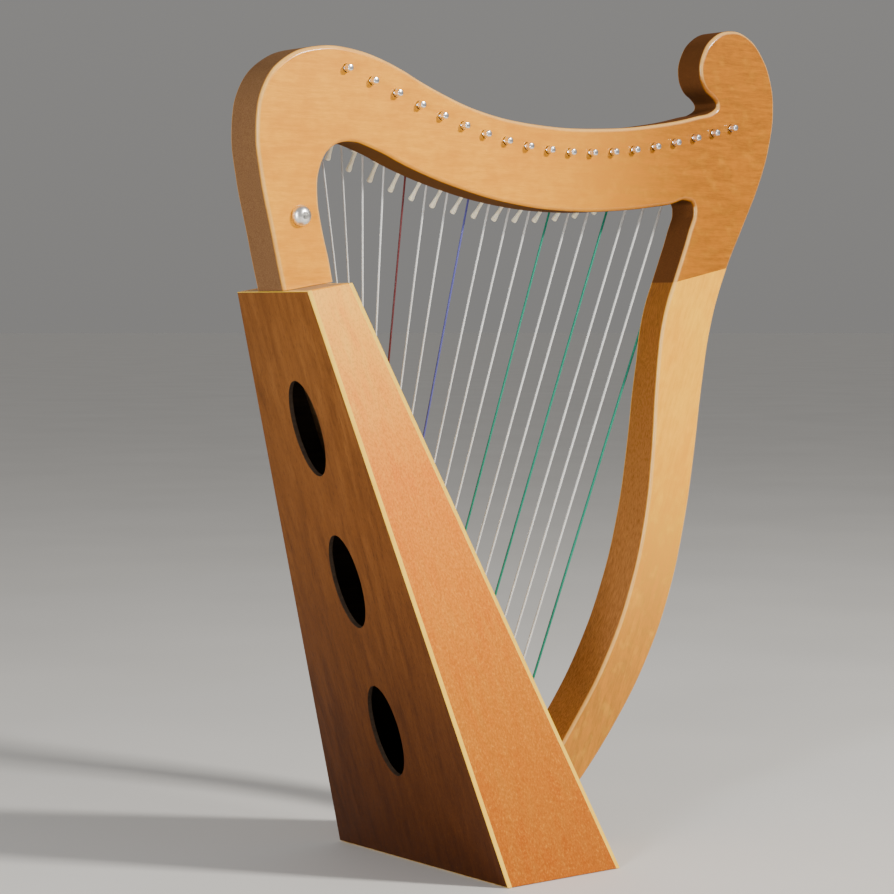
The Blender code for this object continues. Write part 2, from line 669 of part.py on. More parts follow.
def make_tuning_pins():
    """Tuning pins with a square drive on the right and a string hole on the left; returns their holes."""
    near = -PIN_NEAR_END
    far = -PIN_FAR_END
    radius = PIN_RADIUS
    profile = [(0.0, near), (0.65 * radius, near - 0.0003), (radius, near - 0.0014),
               (radius, far + 0.0006), (0.8 * radius, far), (0.0, far)]
    pin = turned("pin_pattern", profile, 10, CHROME, Matrix.Identity(4))
    flats = bmesh.new()
    thick = 0.0020
    for side in (-1, 1):
        offset = side * (PIN_DRIVE_FLAT + thick / 2)
        level = near - PIN_DRIVE_LENGTH / 2
        add_cuboid(flats, (thick, 4 * thick, PIN_DRIVE_LENGTH), at(offset, 0.0, level + 0.0001))
        add_cuboid(flats, (1.9 * PIN_DRIVE_FLAT, thick, PIN_DRIVE_LENGTH), at(0.0, offset, level))
    boolean(pin, add_piece("drive_cutter", body_mesh("drive", flats)))
    eye = bmesh.new()
    add_cylinder(eye, PIN_STRING_HOLE_RADIUS, 4 * radius, at(0.0, 0.0, -PIN_STRING_HOLE) @ ALONG_X, 6)
    boolean(pin, add_piece("string_eye_cutter", body_mesh("eye", eye)))
    pin = frozen(pin)

    holes = bmesh.new()
    for k in range(STRING_COUNT):
        x, z = pin_point(k)
        add_cylinder(holes, PIN_RADIUS + PIN_CLEARANCE, 0.06, at(x, 0.0, z) @ ALONG_Y, 12)
        copy = add_piece(f"tuning_pin_{k + 1:02d}", pin.data, CHROME)
        copy.location = (x, 0.0, z)
        copy.rotation_euler = (math.radians(90), 0.0, 0.0)
    bpy.data.objects.remove(pin)
    x, z = NECK_BOLT_POINT
    add_cylinder(holes, NECK_BOLT_SLEEVE_RADIUS + GAP, 0.06, at(x, 0.0, z) @ ALONG_Y, 24)
    return add_piece("neck_hole_cutter", body_mesh("neck_holes", holes))


def make_strings():
    """Strings from the bar inside the soundboard, over the bridge pins, to the tuning pins."""
    bar = board(
        "string_set", RIB_SPAN, (("front", PLATE + GAP + BAR_THICKNESS), ("front", PLATE + GAP)),
        (fixed(-RIB_HALF_WIDTH), fixed(RIB_HALF_WIDTH)), NYLON,
    )
    strands = bmesh.new()
    for k in range(STRING_COUNT):
        root = string_foot(k) - BOARD_OUT * (PLATE + GAP + BAR_THICKNESS / 2)
        leave = string_exit(k)
        bend = bridge_point(k)
        pin = pin_point(k)
        side = PIN_RADIUS + string_radius(k) + STRING_CLEARANCE
        route = (
            (root.x, 0.0, root.y), (leave.x, 0.0, leave.y),
            (bend.x, STRING_OFFSET, bend.y), (pin.x + side, STRING_OFFSET, pin.y),
        )
        strand = wire(f"strand_{k + 1:02d}", route, string_radius(k))
        strands.from_mesh(strand.data)
        bpy.data.objects.remove(strand)
    strings = add_piece("strands", body_mesh("strands", strands))
    boolean(bar, strings, "UNION")


def wire(name, route, radius):
    """Round wire through points, as a mesh in world space."""
    curve = bpy.data.curves.new(name, "CURVE")
    curve.dimensions = "3D"
    curve.bevel_depth = radius
    curve.bevel_resolution = 1
    curve.use_fill_caps = True
    spline = curve.splines.new("POLY")
    spline.points.add(len(route) - 1)
    for point, place in zip(spline.points, route):
        point.co = (*place, 1.0)
    strand = bpy.data.objects.new(name, curve)
    CUTTERS.objects.link(strand)
    bpy.context.view_layer.update()
    return smooth(frozen(strand), 60)


# Sharping levers

def make_levers():
    """Cream levers that hang beside the neck and swing up to press on their strings."""
    hub = bmesh.new()
    add_cylinder(hub, HUB_RADIUS, 2 * HUB_HALF_LENGTH, ALONG_X, 12)
    pattern = add_piece("lever_pattern", body_mesh("lever", hub), CREAM)

    handle = bmesh.new()
    bmesh.ops.create_cube(handle, size=1.0)
    for vert in handle.verts:
        at_tip = vert.co.z < 0
        half_width, half_thickness = LEVER_TIP_HALF_SIZE if at_tip else LEVER_ROOT_HALF_SIZE
        vert.co.x = math.copysign(half_width, vert.co.x)
        vert.co.y = math.copysign(half_thickness, vert.co.y)
        vert.co.z = -LEVER_LENGTH if at_tip else -LEVER_ROOT_DROP
    handle.transform(Matrix.Rotation(LEVER_TILT, 4, "X"))
    grip = add_piece("grip_tool", body_mesh("grip", handle))
    grip.modifiers.new("eased_edges", "BEVEL").width = 0.0007
    boolean(pattern, frozen(grip), "UNION")

    cam = bmesh.new()
    add_cuboid(cam, CAM_SIZE, at(0.0, 0.0, CAM_REACH - CAM_SIZE[2] / 2))
    boolean(pattern, add_piece("cam_tool", body_mesh("cam", cam)), "UNION")
    bore = bmesh.new()
    add_cylinder(bore, AXLE_BORE, 0.02, ALONG_X, 8)
    boolean(pattern, add_piece("axle_bore_cutter", body_mesh("bore", bore)))
    pattern = smooth(frozen(pattern))
    for k in range(STRING_COUNT):
        lever = add_piece(f"sharping_lever_{k + 1:02d}", pattern.data, CREAM)
        lever.matrix_world = lever_frame(k)
    bpy.data.objects.remove(pattern)


def make_brackets():
    """Lever brackets joined by one thin rail: ears, axles and bridge pins on the neck's left face."""
    face = FRAME_THICKNESS / 2 + GAP
    points = [bridge_point(k) for k in range(STRING_COUNT)]
    axles = [lever_frame(k).translation for k in range(STRING_COUNT)]
    end = RAIL_END
    upper = [(p.x, p.y + RAIL_RISE) for p in points]
    lower = [(a.x, a.z - RAIL_DROP) for a in axles]
    outline = [(upper[0][0] - end, upper[0][1]), *upper, (upper[-1][0] + end, upper[-1][1]),
               (lower[-1][0] + end, lower[-1][1]), *reversed(lower), (lower[0][0] - end, lower[0][1])]
    curve = bpy.data.curves.new("lever_brackets", "CURVE")
    curve.dimensions = "2D"
    curve.fill_mode = "BOTH"
    curve.extrude = RAIL_THICKNESS / 2
    spline = curve.splines.new("POLY")
    spline.points.add(len(outline) - 1)
    for point, (x, z) in zip(spline.points, outline):
        point.co = (x, z, 0.0, 1.0)
    spline.use_cyclic_u = True
    rail = bpy.data.objects.new("lever_brackets", curve)
    HARP.objects.link(rail)
    rail.matrix_world = at(0.0, face + RAIL_THICKNESS / 2, 0.0) @ ALONG_Y
    bpy.context.view_layer.update()
    rail = frozen(rail)
    rail.data.materials.append(CHROME)

    ears = bmesh.new()
    pins = bmesh.new()
    rods = bmesh.new()
    rooted = face + ROOTED
    ear_top = LEVER_AXLE_OFFSET + 0.0026
    ear_size = (EAR_OUTER - EAR_INNER, ear_top - rooted, EAR_WIDTH)
    ear_middle = (ear_top + rooted) / 2 - LEVER_AXLE_OFFSET
    length = STRING_OFFSET + 0.0030 - rooted
    middle = rooted + length / 2 - LEVER_AXLE_OFFSET
    for k in range(STRING_COUNT):
        frame = lever_frame(k)
        for side in (-1, 1):
            offset = side * (EAR_INNER + EAR_OUTER) / 2
            add_cuboid(ears, ear_size, frame @ at(offset, ear_middle, 0.0))
        add_cylinder(rods, AXLE_RADIUS, EAR_INNER + EAR_OUTER, frame @ ALONG_X, 6)
        beside = -(BRIDGE_PIN_RADIUS + string_radius(k) + STRING_CLEARANCE)
        post = frame @ at(beside, middle, LEVER_DROP) @ ALONG_Y
        add_cylinder(pins, BRIDGE_PIN_RADIUS, length, post, 8)
    boolean(rail, add_piece("ear_tool", body_mesh("ears", ears)), "UNION")
    boolean(rail, smooth(add_piece("bridge_pin_tool", body_mesh("bridge_pins", pins)), 60), "UNION")
    boolean(rail, smooth(add_piece("axle_tool", body_mesh("axles", rods)), 65), "UNION")


make_box()
make_frame(make_tuning_pins())
make_neck_bolt()
make_pillar_bolt()
make_strings()
make_levers()
make_brackets()
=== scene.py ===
"""Looks of the small lever harp: fine meshes and wood, metal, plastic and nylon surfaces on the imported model.

Lengths are in metres, +Z up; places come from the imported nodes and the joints.
"""

import json
import math

import bmesh
import bpy
from mathutils import Matrix, Vector


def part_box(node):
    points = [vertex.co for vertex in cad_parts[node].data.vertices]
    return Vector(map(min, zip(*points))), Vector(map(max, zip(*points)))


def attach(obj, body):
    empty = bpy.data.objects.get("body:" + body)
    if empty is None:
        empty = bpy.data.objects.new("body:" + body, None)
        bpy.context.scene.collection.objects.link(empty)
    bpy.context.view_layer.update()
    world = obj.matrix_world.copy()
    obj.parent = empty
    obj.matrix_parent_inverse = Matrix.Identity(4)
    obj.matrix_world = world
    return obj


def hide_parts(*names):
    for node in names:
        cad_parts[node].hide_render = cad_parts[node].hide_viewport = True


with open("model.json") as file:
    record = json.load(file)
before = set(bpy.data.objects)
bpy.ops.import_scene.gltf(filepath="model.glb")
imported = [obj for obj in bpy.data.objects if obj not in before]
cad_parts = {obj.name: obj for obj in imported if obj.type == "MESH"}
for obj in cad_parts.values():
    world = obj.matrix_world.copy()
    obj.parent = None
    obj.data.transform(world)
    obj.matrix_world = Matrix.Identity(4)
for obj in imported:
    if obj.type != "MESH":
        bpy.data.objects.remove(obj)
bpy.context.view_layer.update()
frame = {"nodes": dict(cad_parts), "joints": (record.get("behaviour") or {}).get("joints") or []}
ROOT = "harp_frame"
NODES = frame["nodes"]
JOINTS = {joint["child"]: joint for joint in frame["joints"]}
STRING_COUNT = sum(name.startswith("tuning_pin_") for name in NODES)
STRINGS = range(1, STRING_COUNT + 1)


def new_object(name, data):
    """Object in the scene."""
    item = bpy.data.objects.new(name, data)
    bpy.context.scene.collection.objects.link(item)
    return item


# Camera: behind the harp on its right, a little above its middle

CAMERA_PLACE = (-1.1060, -1.3282, 0.3711)
CAMERA_TURN = (86.89, 0.0, -38.03)  # degrees
CAMERA_LENS = 101.23  # millimetres, on a sensor of 36


def make_camera():
    """Camera at the viewing angle, with a long lens."""
    data = bpy.data.cameras.new("camera")
    data.lens = CAMERA_LENS
    data.sensor_width = 36.0
    camera = new_object("camera", data)
    camera.location = CAMERA_PLACE
    camera.rotation_euler = [math.radians(angle) for angle in CAMERA_TURN]
    bpy.context.scene.camera = camera


make_camera()


# Node materials

class Nodes:
    """Short way to build a Principled material, or a sky, from nodes."""

    def __init__(self, name, kind="materials", shader="Principled BSDF"):
        self.owner = getattr(bpy.data, kind).new(name)
        self.owner.use_nodes = True
        self.tree = self.owner.node_tree
        self.shader = self.tree.nodes[shader]

    def feed(self, socket, value):
        """Lets an input follow an output, or gives it a value of its own."""
        if isinstance(value, bpy.types.NodeSocket):
            self.tree.links.new(value, socket)
        elif value is not None:
            socket.default_value = value

    def add(self, kind, inputs=(), **settings):
        """New node with some of its properties set; inputs gives its sockets outputs or values."""
        node = self.tree.nodes.new("ShaderNode" + kind)
        for key, value in settings.items():
            setattr(node, key, value)
        for key, value in dict(inputs).items():
            self.feed(node.inputs[key], value)
        return node

    def set(self, **values):
        """Constant values on the shader's own sockets; underscores stand for spaces."""
        for key, value in values.items():
            self.shader.inputs[key.replace("_", " ")].default_value = value

    def along(self, kind, axis):
        """One axis of a texture coordinate, such as Object or Normal."""
        vector = self.add("TexCoord").outputs[kind]
        return self.add("SeparateXYZ", {"Vector": vector}).outputs[axis]

    def place(self, direction=(1, 0, 0), scale=(1, 1, 1), offset=(0, 0, 0)):
        """Object coordinates with X turned to a direction in the side view, then scaled."""
        lean = (0.0, -math.atan2(direction[2], direction[0]), 0.0)
        coords = self.add("TexCoord").outputs["Object"]
        turned = self.add("Mapping", {"Vector": coords, "Rotation": lean}, vector_type="TEXTURE")
        sized = self.add("Mapping", {"Vector": turned.outputs["Vector"], "Scale": scale, "Location": offset})
        return sized.outputs["Vector"]

    def noise(self, vector, scale, detail=4.0, roughness=0.55, distortion=0.0):
        """Noise value at a vector."""
        return self.add("TexNoise", {
            "Vector": vector, "Scale": scale, "Detail": detail, "Roughness": roughness,
            "Distortion": distortion,
        }).outputs["Fac"]

    def ramp(self, value, stops):
        """Colour ramp from (position, colour) stops; a colour may be one grey number."""
        node = self.add("ValToRGB")
        elements = node.color_ramp.elements
        while len(elements) < len(stops):
            elements.new(0.5)
        for element, (position, colour) in zip(elements, stops):
            element.position = position
            if isinstance(colour, (int, float)):
                colour = (colour, colour, colour)
            element.color = (*colour, 1.0)
        self.feed(node.inputs["Fac"], value)
        return node.outputs["Color"]

    def math(self, operation, a, b=None):
        """Math node on outputs or numbers."""
        return self.add("Math", {0: a, 1: b}, operation=operation).outputs["Value"]

    def mix(self, factor, a, b, blend="MIX"):
        """Mix of two colours, each an output or a colour."""
        first, second = ((*value, 1.0) if isinstance(value, tuple) else value for value in (a, b))
        inputs = {0: factor, 6: first, 7: second}
        return self.add("Mix", inputs, data_type="RGBA", blend_type=blend).outputs[2]

    def fade(self, axis, start, end, course="SMOOTHSTEP"):
        """0 to 1 between two levels of an object coordinate."""
        inputs = {"Value": self.along("Object", axis), "From Min": start, "From Max": end}
        return self.add("MapRange", inputs, interpolation_type=course).outputs["Result"]

    def colour(self, output):
        """Drive the base colour."""
        self.feed(self.shader.inputs["Base Color"], output)

    def roughness(self, value, low, high):
        """Roughness that runs from low to high with a value."""
        node = self.add("MapRange", {"Value": value, "To Min": low, "To Max": high})
        self.feed(self.shader.inputs["Roughness"], node.outputs["Result"])

    def bump(self, height, distance, strength=1.0):
        """Bump from a height value."""
        node = self.add("Bump", {"Height": height, "Distance": distance, "Strength": strength})
        self.feed(self.shader.inputs["Normal"], node.outputs["Normal"])


def lacquered_maple(name, grain, light, middle, dark, figure=0.3, fade=None, stain_and_shade=None, sawn=False):
    """Satin lacquered maple: fine fibre streaks, soft mottle and flecks.

    fade is (axis, start, end, colour) of a slow change of colour. The argument for the darker sawn sides is
    (axis, start, end, first colour, last colour): a stain that partly stands in for painted shade on them;
    faces turned down get painted shade, and the rounded edges a painted pale highlight except underneath.
    A sawn surface has the same colours and no gloss.
    """
    m = Nodes(name)
    streak = m.noise(m.place(grain, (1.0, 9.0, 9.0)), 46.0, 4.0, 0.5, 0.15)
    fibre = m.noise(m.place(grain, (1.0, 8.0, 8.0)), 170.0, 4.0, 0.6)
    mottle = m.noise(m.place(grain, (1.0, 1.3, 1.3)), 95.0, 4.0, 0.55)
    cloud = m.noise(m.place(grain, (1.0, 1.4, 1.4), (2.3, 0.7, 1.1)), 17.0, 3.0, 0.5)
    flecks = m.noise(m.place(grain, (1.0, 6.0, 6.0), (3.1, 1.7, 0.4)), 420.0, 2.0, 0.5)
    base = m.ramp(cloud, [(0.30, middle), (0.70, light)])
    if fade:
        axis, start, end, colour = fade
        base = m.mix(m.fade(axis, start, end), base, colour)
    base = m.mix(m.ramp(streak, [(0.34, 0.34), (0.60, 0.0)]), base, dark)
    base = m.mix(m.ramp(mottle, [(0.36, 0.22), (0.58, 0.0)]), base, dark)
    base = m.mix(m.ramp(mottle, [(0.50, 0.0), (0.74, figure)]), base, light)
    base = m.mix(m.ramp(fibre, [(0.38, 0.22), (0.58, 0.0)]), base, dark)
    base = m.mix(m.ramp(flecks, [(0.64, 0.0), (0.74, 0.25)]), base, tuple(0.55 * c for c in dark))
    if stain_and_shade:
        axis, start, end, first, last = stain_and_shade
        colour = m.mix(m.fade(axis, start, end), first, last)
        colour = m.mix(m.ramp(fibre, [(0.36, 0.5), (0.60, 0.0)]), colour, DARK_FIBRE_AND_UNDERSIDE_SHADE)
        # painted shade: faces turned down take the darkest colour
        down = m.math("MULTIPLY", m.along("Normal", "Z"), -1.0)
        colour = m.mix(m.ramp(down, [(0.45, 0.0), (0.75, 0.9)]), colour, DARK_FIBRE_AND_UNDERSIDE_SHADE)
        # the sawn sides are darker: partly a stain, partly painted shade
        flat = m.math("ABSOLUTE", m.along("Normal", "Y"))
        base = m.mix(m.ramp(flat, [(0.10, 0.92), (0.50, 0.0)]), base, colour)
        # painted highlight: a pale band along the rounded edges, kept off the faces turned down
        edge_highlight_mask = m.ramp(flat, [(0.22, 0.0), (0.48, EDGE_HIGHLIGHT_SHARE), (0.86, EDGE_HIGHLIGHT_SHARE), (0.985, 0.0)])
        edge_highlight_mask = m.math("MULTIPLY", edge_highlight_mask, m.ramp(down, [(0.05, 1.0), (0.35, 0.0)]))
        base = m.mix(m.math("MULTIPLY", edge_highlight_mask, m.ramp(mottle, [(0.30, 0.7), (0.70, 1.0)])), base, EDGE_HIGHLIGHT_COLOUR)
    m.colour(base)
    m.bump(m.math("ADD", fibre, m.math("MULTIPLY", flecks, 0.3)), 0.00010, 0.30)
    if sawn:
        m.roughness(fibre, 0.66, 0.82)
        m.set(Specular_IOR_Level=0.03)
    else:
        m.roughness(fibre, 0.30, 0.40)
        m.set(Coat_Weight=0.40, Coat_Roughness=0.16, Specular_IOR_Level=0.18)
    return m.owner


def veneer(name, light, middle, dark, grain, pores, speckle, start, floor_shade):
    """Thin veneer under satin lacquer: soft streaks, long dark pores and a fine mottle, with painted shade
    darker towards the floor.

    The last argument is a ramp of multipliers of painted shade, from none at the level start down to the floor.
    """
    m = Nodes(name)
    streak = m.noise(m.place(grain, (1.0, 7.0, 7.0)), 26.0, 5.0, 0.55, 0.3)
    pore = m.noise(m.place(grain, (1.0, 11.0, 11.0)), 190.0, 3.0, 0.6)
    mottle = m.noise(m.place(grain, (1.0, 1.6, 1.6)), 520.0, 3.0, 0.65)
    cloud = m.noise(m.place(grain, (1.0, 1.0, 1.0)), 11.0, 2.0, 0.5)
    base = m.ramp(streak, [(0.28, dark), (0.50, middle), (0.74, light)])
    base = m.mix(m.ramp(cloud, [(0.35, 0.0), (0.75, 0.45)]), base, middle)
    # painted shade: darker towards the floor
    base = m.mix(1.0, base, m.ramp(m.fade("Z", start, 0.0, "LINEAR"), [(0.0, 1.0), *floor_shade]), "MULTIPLY")
    base = m.mix(m.ramp(pore, [(0.56, 0.0), (0.66, pores)]), base, (0.42, 0.36, 0.30), "MULTIPLY")
    base = m.mix(m.ramp(mottle, [(0.40, speckle), (0.50, 0.0)]), base, (0.62, 0.52, 0.45), "MULTIPLY")
    base = m.mix(m.ramp(mottle, [(0.55, 0.0), (0.68, 0.6 * speckle)]), base, light)
    m.colour(base)
    m.roughness(mottle, 0.40, 0.56)
    m.bump(m.math("SUBTRACT", mottle, pore), 0.00010, 0.35)
    m.set(Specular_IOR_Level=0.16)
    return m.owner


def bare_wood(name, light, dark, grain, rough=0.62):
    """Unfinished softwood or hardwood with growth lines."""
    m = Nodes(name)
    lines = m.noise(m.place(grain, (0.5, 14.0, 14.0)), 34.0, 4.0, 0.5, 0.2)
    fuzz = m.noise(m.place(grain, (1.0, 5.0, 5.0)), 300.0, 3.0, 0.6)
    base = m.ramp(lines, [(0.35, dark), (0.62, light)])
    base = m.mix(m.ramp(fuzz, [(0.55, 0.0), (0.75, 0.4)]), base, dark)
    m.colour(base)
    m.roughness(fuzz, rough - 0.06, rough + 0.1)
    m.bump(fuzz, 0.00015, 0.5)
    return m.owner


def plated_metal(name, colour, low, high):
    """Plated or bare metal with faint smears and hairline scratches in its gloss."""
    m = Nodes(name)
    smear = m.noise(m.place(), 900.0, 3.0, 0.6)
    scratch = m.noise(m.place(scale=(1, 14, 1)), 1440.0, 2.0, 0.5)
    dull = m.ramp(smear, [(0.30, tuple(0.86 * c for c in colour)), (0.70, colour)])
    m.colour(dull)
    m.roughness(m.math("MULTIPLY", m.math("ADD", smear, scratch), 0.5), low, high)
    m.bump(scratch, 0.00001, 0.25)
    m.set(Metallic=1.0)
    return m.owner


def nylon(name, colour, clear):
    """Drawn nylon: see-through by a share, with slow changes of tone along the string."""
    m = Nodes(name)
    tone = m.noise(m.place(), 60.0, 2.0, 0.5)
    m.colour(m.ramp(tone, [(0.30, tuple(0.88 * c for c in colour)), (0.70, colour)]))
    fine = m.noise(m.place(), 1500.0, 2.0, 0.5)
    m.roughness(fine, 0.16, 0.30)
    m.set(Transmission_Weight=clear, IOR=1.53)
    return m.owner


def moulded_plastic(name, light, dark):
    """Cream injection-moulded plastic with flow marks and a slightly uneven gloss."""
    m = Nodes(name)
    flow = m.noise(m.place(scale=(2, 2, 1)), 170.0, 3.0, 0.55, 0.6)
    pitting = m.noise(m.place(), 2600.0, 2.0, 0.5)
    m.colour(m.ramp(flow, [(0.30, dark), (0.62, light)]))
    m.roughness(m.math("MULTIPLY", m.math("ADD", flow, pitting), 0.5), 0.22, 0.42)
    m.bump(pitting, 0.00002, 0.3)
    m.set(Subsurface_Weight=0.15, Subsurface_Radius=(0.004, 0.003, 0.002), Subsurface_Scale=0.3)
    return m.owner


EDGE_HIGHLIGHT_SHARE = 0.60  # strength of the pale highlight painted along the frame's rounded edges
EDGE_HIGHLIGHT_COLOUR = (1.0, 0.64, 0.22)  # colour of the highlight painted on the frame's rounded edges
DARK_FIBRE_AND_UNDERSIDE_SHADE = (0.045, 0.018, 0.008)  # darkest colour: the fibre streaks on the sawn sides, and painted shade on the frame's underside

# Directions of the grain in the side view
PILLAR_GRAIN = (0.36, 0.0, 0.93)
BOX_GRAIN = (-0.30, 0.0, 0.954)
BOARD_GRAIN = (-0.42, 0.0, 0.907)

NECK_WOOD, NECK_SIDES = (lacquered_maple(
    name, (1, 0, 0), (0.92, 0.39, 0.012), (0.84, 0.33, 0.007), (0.60, 0.19, 0.004), 0.18,
    fade=("X", -0.04, 0.17, (0.26, 0.084, 0.003)),
    # sawn sides: a stain that is partly painted shade
    stain_and_shade=("X", -0.20, 0.15, (0.190, 0.108, 0.062), (0.125, 0.047, 0.017)), sawn=sawn,
) for name, sawn in (("amber_maple", False), ("amber_maple_sawn", True)))
PILLAR_WOOD, PILLAR_SIDES = (lacquered_maple(
    name, PILLAR_GRAIN, (1.0, 0.51, 0.014), (1.0, 0.44, 0.008), (0.76, 0.27, 0.004),
    fade=("Z", 0.30, 0.10, (0.35, 0.138, 0.004)),
    # sawn sides: a stain that is partly painted shade
    stain_and_shade=("Z", 0.40, 0.05, (0.270, 0.090, 0.028), (0.500, 0.220, 0.070)), sawn=sawn,
) for name, sawn in (("golden_maple", False), ("golden_maple_sawn", True)))
BACK_WOOD = veneer(
    "mahogany", (0.30, 0.114, 0.024), (0.230, 0.080, 0.014), (0.155, 0.050, 0.008), BOX_GRAIN,
    pores=0.70, speckle=0.16, start=0.33,
    # painted shade towards the floor
    floor_shade=[(0.30, (0.86, 0.80, 0.74)), (0.70, (0.44, 0.35, 0.26)), (1.0, (0.27, 0.18, 0.10))],
)
SIDE_WOOD = veneer(
    "tan_veneer", (1.0, 0.50, 0.040), (1.0, 0.43, 0.018), (0.96, 0.34, 0.006), BOX_GRAIN,
    pores=0.10, speckle=0.42, start=0.38,
    # painted shade towards the floor
    floor_shade=[(0.30, (0.80, 0.52, 0.40)), (0.68, (0.58, 0.40, 0.32)), (1.0, (0.46, 0.28, 0.24))],
)
EDGE_WOOD = lacquered_maple(
    "edge_maple", BOX_GRAIN, (1.0, 0.66, 0.07), (1.0, 0.61, 0.05), (0.88, 0.45, 0.02)
)
RAW_WOOD = bare_wood("dark_ply", (0.050, 0.029, 0.015), (0.030, 0.016, 0.008), (0, 1, 0))
BOARD_WOOD = bare_wood("spruce", (0.86, 0.56, 0.22), (0.72, 0.40, 0.11), BOARD_GRAIN, 0.45)
INNER_WOOD = bare_wood("plain_beech", (0.46, 0.29, 0.14), (0.34, 0.19, 0.085), (0, 1, 0))
RIB_WOOD = lacquered_maple(
    "rosewood", BOARD_GRAIN, (0.16, 0.060, 0.030), (0.095, 0.033, 0.018), (0.045, 0.015, 0.010), 0.2
)
CHROME = plated_metal("chrome", (0.92, 0.92, 0.93), 0.14, 0.28)
NICKEL = plated_metal("nickel", (0.72, 0.70, 0.66), 0.18, 0.34)
SATIN = plated_metal("satin_nickel", (0.96, 0.95, 0.93), 0.24, 0.38)
STEEL = plated_metal("steel", (0.56, 0.57, 0.58), 0.22, 0.42)
ZINC = plated_metal("zinc", (0.60, 0.61, 0.63), 0.30, 0.50)
BRASS = plated_metal("brass", (0.78, 0.57, 0.22), 0.16, 0.32)
CREAM = moulded_plastic("cream_plastic", (1.0, 0.95, 0.76), (0.94, 0.86, 0.64))
CLEAR = nylon("clear_nylon", (0.90, 0.92, 0.92), 0.25)
RED = nylon("red_nylon", (0.13, 0.015, 0.018), 0.10)
BLUE = nylon("blue_nylon", (0.10, 0.10, 0.36), 0.10)
TEAL = nylon("teal_nylon", (0.012, 0.26, 0.17), 0.10)
STRING_COLOURS = {5: RED, 8: BLUE, 12: TEAL, 15: TEAL, 19: TEAL}


# Making pieces

WELD = 1e-7  # points nearer than this are one
TUBE_RESOLUTION = 4  # points added in each quarter of a tube's section


def add_piece(name, mesh, material, body=ROOT, replaces=(), matrix=None, angle=34):
    """Piece that rides on a body; further materials go in slots after the first."""
    piece = new_object(name, mesh)
    materials = material if isinstance(material, (list, tuple)) else [material]
    if not mesh.materials:
        for entry in materials:
            mesh.materials.append(entry)
        mesh.shade_smooth()
        mesh.set_sharp_from_angle(angle=math.radians(angle))
    if matrix is not None:
        piece.matrix_world = matrix
    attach(piece, body)
    if replaces:
        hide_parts(*replaces)
    return piece


def body_mesh(name, body):
    """Mesh from a bmesh, facing out; the bmesh is freed."""
    bmesh.ops.recalc_face_normals(body, faces=body.faces)
    mesh = bpy.data.meshes.new(name)
    body.to_mesh(mesh)
    body.free()
    return mesh


def evaluated_mesh(piece):
    """Welded mesh of an object with its modifiers, facing out; the object is removed."""
    graph = bpy.context.evaluated_depsgraph_get()
    mesh = bpy.data.meshes.new_from_object(piece.evaluated_get(graph))
    mesh.transform(piece.matrix_world)
    bpy.data.objects.remove(piece)
    body = bmesh.new()
    body.from_mesh(mesh)
    bmesh.ops.remove_doubles(body, verts=body.verts, dist=WELD)
    return body_mesh("mesh", body)


def boolean_mesh(mesh, tool, operation="DIFFERENCE"):
    """Mesh cut by or joined with another mesh."""
    piece = new_object("piece", mesh)
    other = new_object("tool", tool)
    modifier = piece.modifiers.new("boolean", "BOOLEAN")
    modifier.operation = operation
    modifier.solver = "MANIFOLD"
    modifier.object = other
    bpy.context.view_layer.update()
    result = evaluated_mesh(piece)
    bpy.data.objects.remove(other)
    return result


def face_materials(mesh, rule):
    """Material index of each face from a rule on its normal and centre."""
    for face in mesh.polygons:
        face.material_index = rule(face.normal, face.center)


def at(x, y, z):
    """Matrix that moves to a point."""
    return Matrix.Translation((x, y, z))


def turn(angle, axis):
    """Matrix that turns about an axis by degrees."""
    return Matrix.Rotation(math.radians(angle), 4, axis)


def lathe(body, profile, segments, matrix=None, flat=None):
    """Turned solid in a bmesh from (radius, height) points along Z; flat(height) squares off its sides."""
    place = matrix or Matrix.Identity(4)
    rings = []
    for radius, height in profile:
        ring = []
        for i in range(segments if radius > WELD else 1):
            angle = 2 * math.pi * i / segments
            x, y = math.cos(angle), math.sin(angle)
            reach = min(radius, flat(height) / max(abs(x), abs(y))) if flat else radius
            ring.append(body.verts.new(place @ Vector((reach * x, reach * y, height))))
        rings.append(ring)
    for lower, upper in zip(rings, rings[1:]):
        for i in range(segments):
            j = (i + 1) % segments
            quad = [ring[n % len(ring)] for ring, n in ((lower, i), (lower, j), (upper, j), (upper, i))]
            unique = list(dict.fromkeys(quad))
            if len(unique) > 2:
                body.faces.new(unique)


def turned(name, profile, segments, matrix=None, flat=None):
    """Turned solid as a mesh of its own."""
    body = bmesh.new()
    lathe(body, profile, segments, matrix, flat)
    return body_mesh(name, body)


def plain(radius, half_length):
    """Profile of a plain round bar."""
    return [(0.0, -half_length), (radius, -half_length), (radius, half_length), (0.0, half_length)]


def skin(body, rings):
    """Closed solid in a bmesh: faces between neighbouring rings of vertices, and a cap at each end."""
    for first, second in zip(rings, rings[1:]):
        for i in range(len(first)):
            j = (i + 1) % len(first)
            body.faces.new((first[i], first[j], second[j], second[i]))
    body.faces.new(rings[0])
    body.faces.new(rings[-1])
    bmesh.ops.recalc_face_normals(body, faces=body.faces)


def soften(body, edges, width, segments=3):
    """Rounds edges of a bmesh."""
    bmesh.ops.bevel(body, geom=edges, offset=width, segments=segments, profile=0.5, affect="EDGES")


def rounded(radius, half_length, edge, steps=5):
    """Profile of a plain round bar with rounded ends, from bottom to top."""
    points = [(0.0, -half_length)]
    for i in range(steps + 1):
        angle = math.pi / 2 * i / steps
        points.append((radius - edge + edge * math.sin(angle), -half_length + edge - edge * math.cos(angle)))
    return points + [(r, -z) for r, z in reversed(points)]


